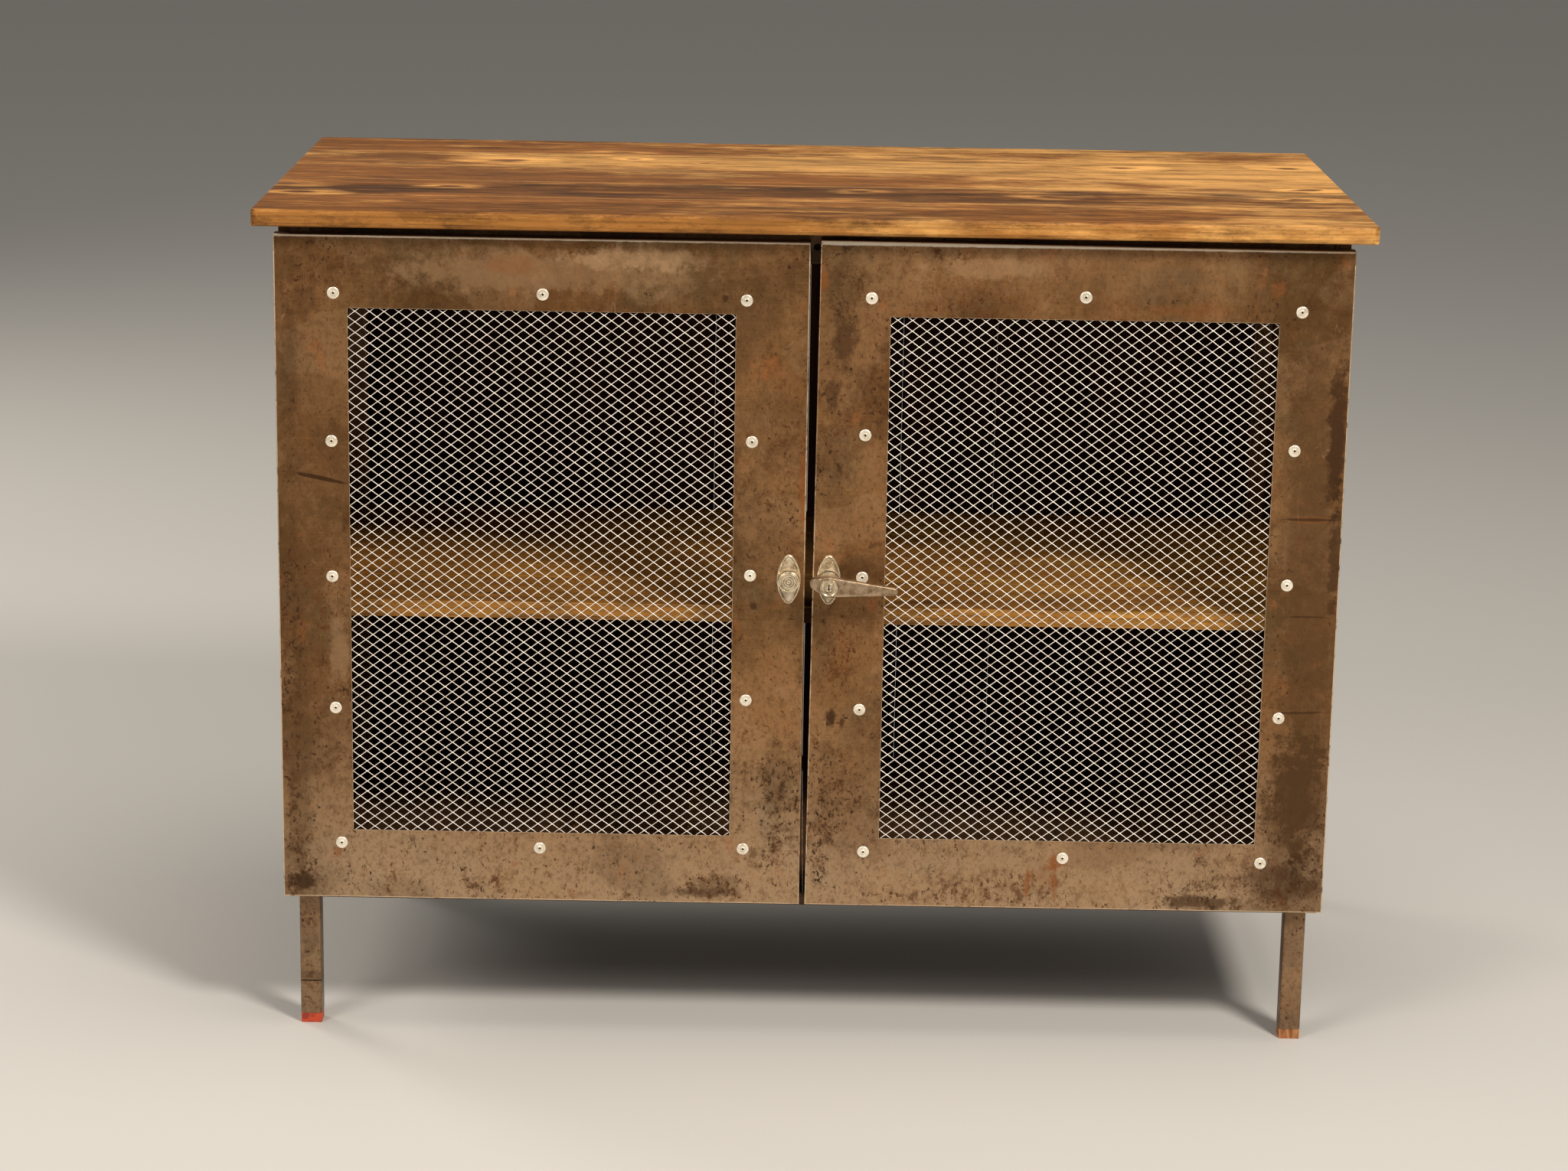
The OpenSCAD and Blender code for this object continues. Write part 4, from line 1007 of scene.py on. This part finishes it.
def set_out(name, shape, places, material, tip=0.0, seed=1):
    """Copies of a shape on places, as one mesh. The two helpers that carry them are removed again."""
    pattern = bpy.data.meshes.new(name + "_places")
    pattern.from_pydata([tuple(place) for place in places], [], [])
    helpers = [linked(name + "_at", pattern), linked(name + "_one", settled(shape, name, 40))]
    sizes = {"Places": helpers[0], "Shape": helpers[1], "Tip": tip, "Seed": seed}
    mesh = setter.work(name, sizes, material)
    for helper in helpers:
        bpy.data.objects.remove(helper)
    return mesh


# %% [markdown]
# The rivet's profile runs from its sunken middle over the crown and the flange, down the shank and
# round the bulge behind the sheet, where the rivet was pulled tight.

# %% Rivets
rivet_profile = (
    (0, 3.0), (1.2, 3.0), (1.25, -0.9), (1.35, -1.5), (1.6, -1.82), (2.0, -1.9), (2.4, -1.8),
    (2.65, -1.5), (2.9, -1.2), (3.3, -1.15), (4.2, -1.25), (5.2, -1.2), (6.1, -1.05), (6.65, -0.8),
    (6.95, -0.45), (7.0, 0.0), (2.4, 0.0), (2.4, 6.5), (3.5, 6.6), (3.8, 7.2), (3.6, 8.1), (2.6, 8.5),
    (0, 8.5),
)
RIVET_TIP = 0.035
for side, seed in (("left", 3), ("right", 8)):
    places = spots_at(side + "_rivets", door_front)
    rivet = mark_relief(turned(rivet_profile, 28), 0.25 * MM, 1)
    heads = set_out(side + "_rivet", rivet, places, rivet_metal, RIVET_TIP, seed)
    fit_piece(side + "_rivet_heads", heads, side + "_rivets")
    print(side, len(places), "rivets,", len(heads.polygons), "faces")

# %% [markdown]
# ## Screws
# The boards and lock plates are held by screws with domed heads and a cross recess. The head is turned
# and the cross is cut out of it. The same setting tool then puts them in their places.

# %% Cutting and screws
def cut_out(shape, cutters):
    """The shape with the cutters taken away, by an exact boolean."""
    body = linked("cut_body", settled(shape, "cut_body"))
    tools = []
    for cutter in cutters:
        tool = linked("cutter", settled(cutter, "cutter"))
        step = body.modifiers.new("cut", "BOOLEAN")
        step.operation = "DIFFERENCE"
        step.solver = "EXACT"
        step.object = tool
        tools.append(tool)
    bpy.context.view_layer.update()
    mesh = bpy.data.meshes.new_from_object(body.evaluated_get(bpy.context.evaluated_depsgraph_get()))
    for helper in [body, *tools]:
        bpy.data.objects.remove(helper)
    result = bmesh.new()
    result.from_mesh(mesh)
    return result


BOARD_SCREW, PLATE_SCREW = (3.8, 2.4, 1.9, 15.0), (3.6, 2.4, 1.9, 2.6)
TOP_SCREW, CAM_SCREW = (4.5, 3.0, 2.4, 53.0), (7.0, 3.0, 2.0, 10.0)


def screw_shape(head_r, head_h, shank_r, length):
    """A screw along Y with its head at y = 0 to -head_h and its shank behind, in millimetres."""
    profile = (
        (0, -head_h), (head_r * 0.45, -head_h * 0.96), (head_r * 0.8, -head_h * 0.7),
        (head_r, -head_h * 0.25), (head_r, 0), (shank_r, 0), (shank_r, length - shank_r),
        (shank_r * 0.35, length), (0, length),
    )
    arm, slit = head_r * 0.55 * MM, head_r * 0.12 * MM
    front, floor = -(head_h + 1) * MM, -head_h * 0.45 * MM
    cross = [
        box_shape((-wide, front, -high), (wide, floor, high)) for wide, high in ((arm, slit), (slit, arm))
    ]
    return cut_out(turned(profile, 20), cross)


def turn_shape(shape, angle, axis):
    bmesh.ops.rotate(shape, verts=shape.verts, cent=(0, 0, 0), matrix=Matrix.Rotation(angle, 3, axis))
    return shape


screw_jobs = (
    ("back_board_screws", "back_screws", back_face, BOARD_SCREW, 5),
    ("left_lock_plate_screws", "left_plate_screws", door_front + SHEET, PLATE_SCREW, 6),
    ("right_lock_plate_screws", "right_plate_screws", door_front + SHEET, PLATE_SCREW, 6),
)
for name, part, seat, size, seed in screw_jobs:
    places = spots_at(part, seat)
    screw = turn_shape(screw_shape(*size), math.pi, "Z")
    fit_piece(name, set_out(name, screw, places, fixing_metal, 0.0, seed), part)
    print(len(places), part)

# %% [markdown]
# The screws under the top stand upright, and the setting tool spins a shape about Y alone. So this
# screw is turned up by a quarter and copied here, each copy with a twist of its own.

# %% Upright screws and the cam's screw
upright = bmesh.new()
one = bpy.data.meshes.new("top_screw")
shape = turn_shape(screw_shape(*TOP_SCREW), math.pi / 2, "X")
shape.to_mesh(one)
shape.free()
for number, box in enumerate(islands("top_screws")):
    start = len(upright.verts)
    upright.from_mesh(one)
    upright.verts.ensure_lookup_table()
    place = Matrix.Translation((*centre_of(box).xy, box[0].z + TOP_SCREW[1] * MM))
    twist = Matrix.Rotation(number * 1.1, 4, "Z")
    bmesh.ops.transform(upright, matrix=place @ twist, verts=upright.verts[start:])
fit_shape("plank_screws", upright, "top_screws", fixing_metal, 40)
cam_screw = turn_shape(screw_shape(*CAM_SCREW), math.pi, "Z")
cam_place = spots_at("cam_screw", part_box("cam_screw")[1].y - CAM_SCREW[1] * MM)[0]
bmesh.ops.transform(cam_screw, matrix=Matrix.Translation(cam_place), verts=cam_screw.verts)
fit_shape("cam_fixing", cam_screw, "cam_screw", fixing_metal, 40)

# %% [markdown]
# ## Lock plates
# Each plate is a casting: a pointed oval of two wide arcs that meet in rounded tips, with a raised
# rim, a hollow inside the rim, and a round boss in the middle. An outline drawn from arcs can be
# drawn again at any inset by changing the radii alone, so the plate is a stack of such outlines.

# %% Oval outlines
PLATE_WIDTH = 28.0
PLATE_HEIGHT = 58.6
TIP_RADIUS = 6.0


def oval(inset, steps=18):
    """The oval's outline, drawn in by inset, as (x, z) in millimetres round its middle."""
    tip_z = PLATE_HEIGHT / 2 - TIP_RADIUS
    side_r = (PLATE_WIDTH ** 2 / 4 + tip_z ** 2 - TIP_RADIUS ** 2) / (PLATE_WIDTH - 2 * TIP_RADIUS)
    side_x = side_r - PLATE_WIDTH / 2
    meet = math.asin(tip_z / (side_r - TIP_RADIUS))
    points = []
    for quarter_turn, sign in ((0.0, 1), (math.pi, -1)):
        for step in range(steps):
            angle = quarter_turn - meet + 2 * meet * step / steps
            radius = side_r - inset
            points.append((radius * math.cos(angle) - sign * side_x, radius * math.sin(angle)))
        for step in range(steps // 2):
            angle = quarter_turn + meet + (math.pi - 2 * meet) * step / (steps // 2)
            radius = max(TIP_RADIUS - inset, 0.3)
            points.append((radius * math.cos(angle), sign * tip_z + radius * math.sin(angle)))
    return points


RIM_INSET = 2.6
TIP_FACET, FACET_FROM, FACET_RUN = 1.0, 18.5, 4.0


def plate_shape(rows, centre):
    """A closed stack of outlines; rows hold (inset, height in front of the door) in millimetres. The
    floor inside the rim climbs towards the tips, as a facet."""
    shape = bmesh.new()
    rings = []
    for inset, height in rows:
        ring = []
        for x, z in oval(inset):
            climb = max(0.0, min(1.0, (abs(z) - FACET_FROM) / FACET_RUN)) * TIP_FACET
            y = centre.y - (height + (climb if inset > RIM_INSET else 0.0)) * MM
            ring.append(shape.verts.new((centre.x + x * MM, y, centre.z + z * MM)))
        rings.append(ring)
    skin(shape, rings, closed=True)
    return shape


# %% [markdown]
# The left plate's boss is a short cup for the blank cap. The right plate has a longer neck that
# carries the lever, with a collar round its foot. Both are turned, and put into the plate's mesh.

# %% Plates with their bosses
plate_rows = (
    (0.0, 0.0), (0.0, 1.6), (0.2, 2.6), (0.7, 3.5), (1.3, 3.9), (1.8, 3.8), (2.2, 3.2), (2.6, 2.4),
    (3.0, 1.9), (3.8, 1.8), (4.8, 1.8),
)
left_axis, right_axis = centre_of(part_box("left_blank_cap")), centre_of(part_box("key_plug"))
left_axis.y = right_axis.y = door_front
left_boss = (
    (0, 0), (13.3, 0), (13.3, 2.0), (13.1, 3.6), (12.9, 5.0), (12.7, 7.0), (12.5, 9.0), (12.5, 14.6),
    (12.3, 15.5), (11.8, 16.0), (11.2, 16.1), (10.8, 15.8), (10.6, 15.0), (10.5, 13.0), (0, 13.0),
)
right_neck = (
    (0, 0), (13.9, 0), (14.0, 3.0), (14.0, 6.4), (13.8, 7.5), (13.2, 8.2), (12.6, 8.3), (12.2, 7.9),
    (12.0, 7.0), (11.8, 6.8), (11.6, 7.4), (11.5, 9.0), (11.5, 12.0), (11.5, 18.0), (11.5, 26.6),
    (11.2, 27.4), (10.8, 27.7), (0, 27.7),
)


def outwards(profile, face=0.0):
    """A profile of (radius, height in front of a face of the lock) as the lathe's (radius, y)."""
    return [(radius, -(face + height)) for radius, height in profile]


for side, axis, boss in (("left", left_axis, left_boss), ("right", right_axis, right_neck)):
    plate = added(plate_shape(plate_rows, axis), turned(outwards(boss), 64, axis))
    mark_relief(plate, 0.22 * MM)
    casting = fit_shape(side + "_lock_casting", plate, side + "_lock_plate", lock_casting, 38)
    print(casting.name, len(casting.data.polygons), "faces")

# %% [markdown]
# ## Blank cap, lock cylinder and key plug
# The left boss is closed by a pressed cap with plain rings. On the right, the cylinder's bright rim
# stands out of the lever, with a dark groove between it and the key plug, and the keyway is a slot cut
# into the plug. The finish darkens such hollows as painted shade, on top of their grime.

# %% Round lock parts
cap_profile = (
    (0, 16.1), (1.0, 16.1), (1.5, 16.2), (1.8, 16.7), (2.3, 16.7), (2.6, 16.15), (3.9, 16.1),
    (4.2, 16.2), (4.5, 16.75), (5.1, 16.75), (5.4, 16.15), (6.4, 16.1), (6.7, 16.2), (7.0, 16.8),
    (7.7, 16.8), (8.0, 16.15), (8.5, 16.0), (8.8, 16.2), (9.1, 16.8), (9.6, 17.0), (10.1, 16.8),
    (10.4, 16.2), (10.4, 13.0), (0, 13.0),
)
cap = mark_relief(turned(outwards(cap_profile), 64, left_axis), 0.3 * MM, 0)
fit_shape("ringed_cap", cap, "left_blank_cap", lock_casting, 38)
lever_face = -(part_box("lever_handle")[0].y - door_front) / MM
cylinder_profile = (
    (6.05, -8), (6.05, 0.5), (6.25, 0.95), (6.6, 1.0), (7.2, 0.95), (8.0, 1.05), (8.6, 1.35), (9.0, 1.85),
    (9.4, 2.0), (9.8, 1.85), (10.0, 1.4), (10.0, 0.4), (9.5, 0.15), (9.5, -10), (6.05, -10), (6.05, -8),
)
cylinder = mark_relief(turned(outwards(cylinder_profile, lever_face), 64, right_axis), 0.25 * MM, 1)
fit_shape("lock_cylinder_rim", cylinder, "lock_cylinder", lock_chrome, 38)
plug_profile = (
    (0, -0.6), (2.6, -0.6), (3.6, -0.5), (4.1, -0.2), (4.4, 0.9), (4.8, 1.45), (5.2, 1.5), (5.6, 1.2),
    (5.8, 0.5), (6.0, -0.2), (6.0, -7.8), (0, -7.8),
)
plug = turned(outwards(plug_profile, lever_face), 48, right_axis)
key_slit, key_reach, key_depth = 0.8 * MM, 3.5 * MM, 5 * MM
face_y = door_front - lever_face * MM
slot = box_shape(
    (right_axis.x - key_slit, face_y - key_depth, right_axis.z - key_reach),
    (right_axis.x + key_slit, face_y + key_depth, right_axis.z + key_reach),
)
plug = mark_relief(cut_out(plug, [slot]), 0.3 * MM, 1)
fit_shape("key_plug_face", plug, "key_plug", lock_chrome, 38)

# %% [markdown]
# ## The lever
# The lever is a casting that was filed by hand. Seen from the front it is three circles with straight
# edges between them: a small one at its rounded end, a large one round the cylinder, and the tip,
# which sits lower and further back. It is lofted: one flattened ring after another along its length.
# A ring has a nearly flat front, a filed bevel at each front edge, and small radii at the back.

# %% Lofted lever
LEVER_CIRCLES = ((-14.8, 3.2, 7.0), (0.0, 0.0, 11.6), (74.5, -4.8, 4.5))
BACK_FACE, FRONT_FACE = 28.1, 40.0
TIP_BACK, TIP_FRONT = 30.0, 36.8
BEVEL = 1.0
POCKET_RADIUS = 9.55
POCKET_DEPTH = 9.0


def lever_outline(x):
    """The lower and upper edge of the hull of the lever's circles at x."""
    heights = []
    for (x_1, z_1, r_1), (x_2, z_2, r_2) in zip(LEVER_CIRCLES, LEVER_CIRCLES[1:]):
        for step in range(121):
            share = step / 120
            radius = r_1 + (r_2 - r_1) * share
            off = x - (x_1 + (x_2 - x_1) * share)
            if abs(off) <= radius:
                middle, half = z_1 + (z_2 - z_1) * share, math.sqrt(radius * radius - off * off)
                heights += [middle - half, middle + half]
    return min(heights), max(heights)


def lever_stations():
    """Places along the lever, close together on the rounded ends."""
    (start, _, first_r), _, (end, _, last_r) = LEVER_CIRCLES
    left = [start - first_r * math.cos(math.radians(turn)) for turn in range(4, 90, 8)]
    straight = [start + (end - start) * step / 36 for step in range(1, 36)]
    right = [end + last_r * math.sin(math.radians(turn)) for turn in range(0, 90, 9)]
    return left + straight + right


def lever_section(half, back, front):
    """One ring of the loft as (z, height in front of the door), from the front round to the back."""
    cut = min(BEVEL, half * 0.45)
    upper_half = [
        (0.0, front + 0.25), ((half - cut) * 0.5, front + 0.2), (half - cut, front),
        (half - cut * 0.8, front - 0.12), (half - cut * 0.15, front - cut * 0.75), (half, front - cut),
        (half, front - cut - 0.5), (half, (front + back) / 2), (half, back + 0.9), (half - 0.3, back + 0.3),
        (half - 0.9, back), (0.0, back),
    ]
    lower_half = [(-z, height) for z, height in upper_half]
    return lower_half + upper_half[-2:0:-1]


def lofted_lever():
    shape = bmesh.new()
    loops = []
    start, end = LEVER_CIRCLES[0], LEVER_CIRCLES[-1]
    for x in lever_stations():
        low_edge, high_edge = lever_outline(x)
        taper = max(0.0, min(1.0, x / end[0]))
        roundness = max(0.0, 1 - (high_edge - low_edge) / 2 / (start[2] if x < 0 else end[2]))
        back = BACK_FACE + (TIP_BACK - BACK_FACE) * taper + roundness * 1.6
        front = FRONT_FACE + (TIP_FRONT - FRONT_FACE) * taper - roundness * 2.4 - max(0.0, -x - 9) * 0.12
        middle, half = (low_edge + high_edge) / 2, (high_edge - low_edge) / 2
        ring = [(x, middle + z, height) for z, height in lever_section(half, back, front - 0.25)]
        loops.append([
            shape.verts.new((right_axis.x + x * MM, door_front - height * MM, right_axis.z + z * MM))
            for x, z, height in ring
        ])
    skin(shape, loops, closed=True)
    pocket = ((0, 5), (POCKET_RADIUS, 5), (POCKET_RADIUS, -POCKET_DEPTH), (0, -POCKET_DEPTH))
    cutter = turned(outwards(pocket, lever_face), 48, right_axis)
    return mark_relief(cut_out(shape, [cutter]), 0.35 * MM, 0)


lever = fit_shape("lever_casting", lofted_lever(), "lever_handle", lever_casting, 30)
print(lever.name, len(lever.data.polygons), "faces")

# %% [markdown]
# ## The room
# The cabinet stands on a plain pale floor that runs on past the picture, under soft light from large
# lamps at both sides of the camera. The world is a pale grey, so that steel and glossy wood have
# something quiet to reflect.

# %% Floor
def pale_floor():
    finish = Finish("studio floor")
    finish.colour = paint(192, 190, 186)
    return finish.surface(0.62, 0.0)


HALF_FLOOR = 40.0
floor_mesh = bpy.data.meshes.new("floor")
corners = [(x * HALF_FLOOR, y * HALF_FLOOR, 0) for x, y in ((-1, -1), (1, -1), (1, 1), (-1, 1))]
floor_mesh.from_pydata(corners, [], [(0, 1, 2, 3)])
floor_mesh.materials.append(pale_floor())
linked("floor", floor_mesh)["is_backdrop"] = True

# %% [markdown]
# A disk lamp has soft edges to its shadows, and the larger it is, the softer they get. The key lamp
# stands to the right, as in the picture, and the others only keep the far sides from going black.

# %% Lamps and world
WARM_WHITE = (1.0, 0.93, 0.84)
LIT_POINT = Vector((0, 0, 0.55))


def lamp(name, place, size, power):
    light = bpy.data.lights.new(name, "AREA")
    light.shape = "DISK"
    light.size = size
    light.energy = power
    light.color = WARM_WHITE
    holder = linked(name, light)
    toward = (LIT_POINT - Vector(place)).to_track_quat("-Z", "Y")
    holder.matrix_world = Matrix.Translation(place) @ toward.to_matrix().to_4x4()


lamp("key lamp", (2.0, -3.0, 3.6), 1.0, 200)
lamp("fill lamp", (-2.4, -3.0, 3.0), 1.8, 80)
lamp("top lamp", (0.4, -0.4, 4.3), 2.0, 60)
lamp("back lamp", (-3.6, 2.6, 2.4), 1.8, 80)
world = bpy.data.worlds.new("studio")
world.use_nodes = True
bpy.context.scene.world = world
air = world.node_tree.nodes["Background"]
air.inputs["Color"].default_value = (0.9, 0.86, 0.8, 1)
air.inputs["Strength"].default_value = 0.26
bpy.context.scene.view_settings.view_transform = "Standard"

# %% [markdown]
# ## Sizes and the end
# Both boxes are gathered for comparison, and the print shows how far the dressed cabinet's corners
# lie from the frame's.

# %% Sizes and the end
low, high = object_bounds()
sizes = {"cad": [list(cad_low), list(cad_high)], "visual": [list(low), list(high)]}
print("visual box's corners less the frame's:", low - cad_low, high - cad_high)
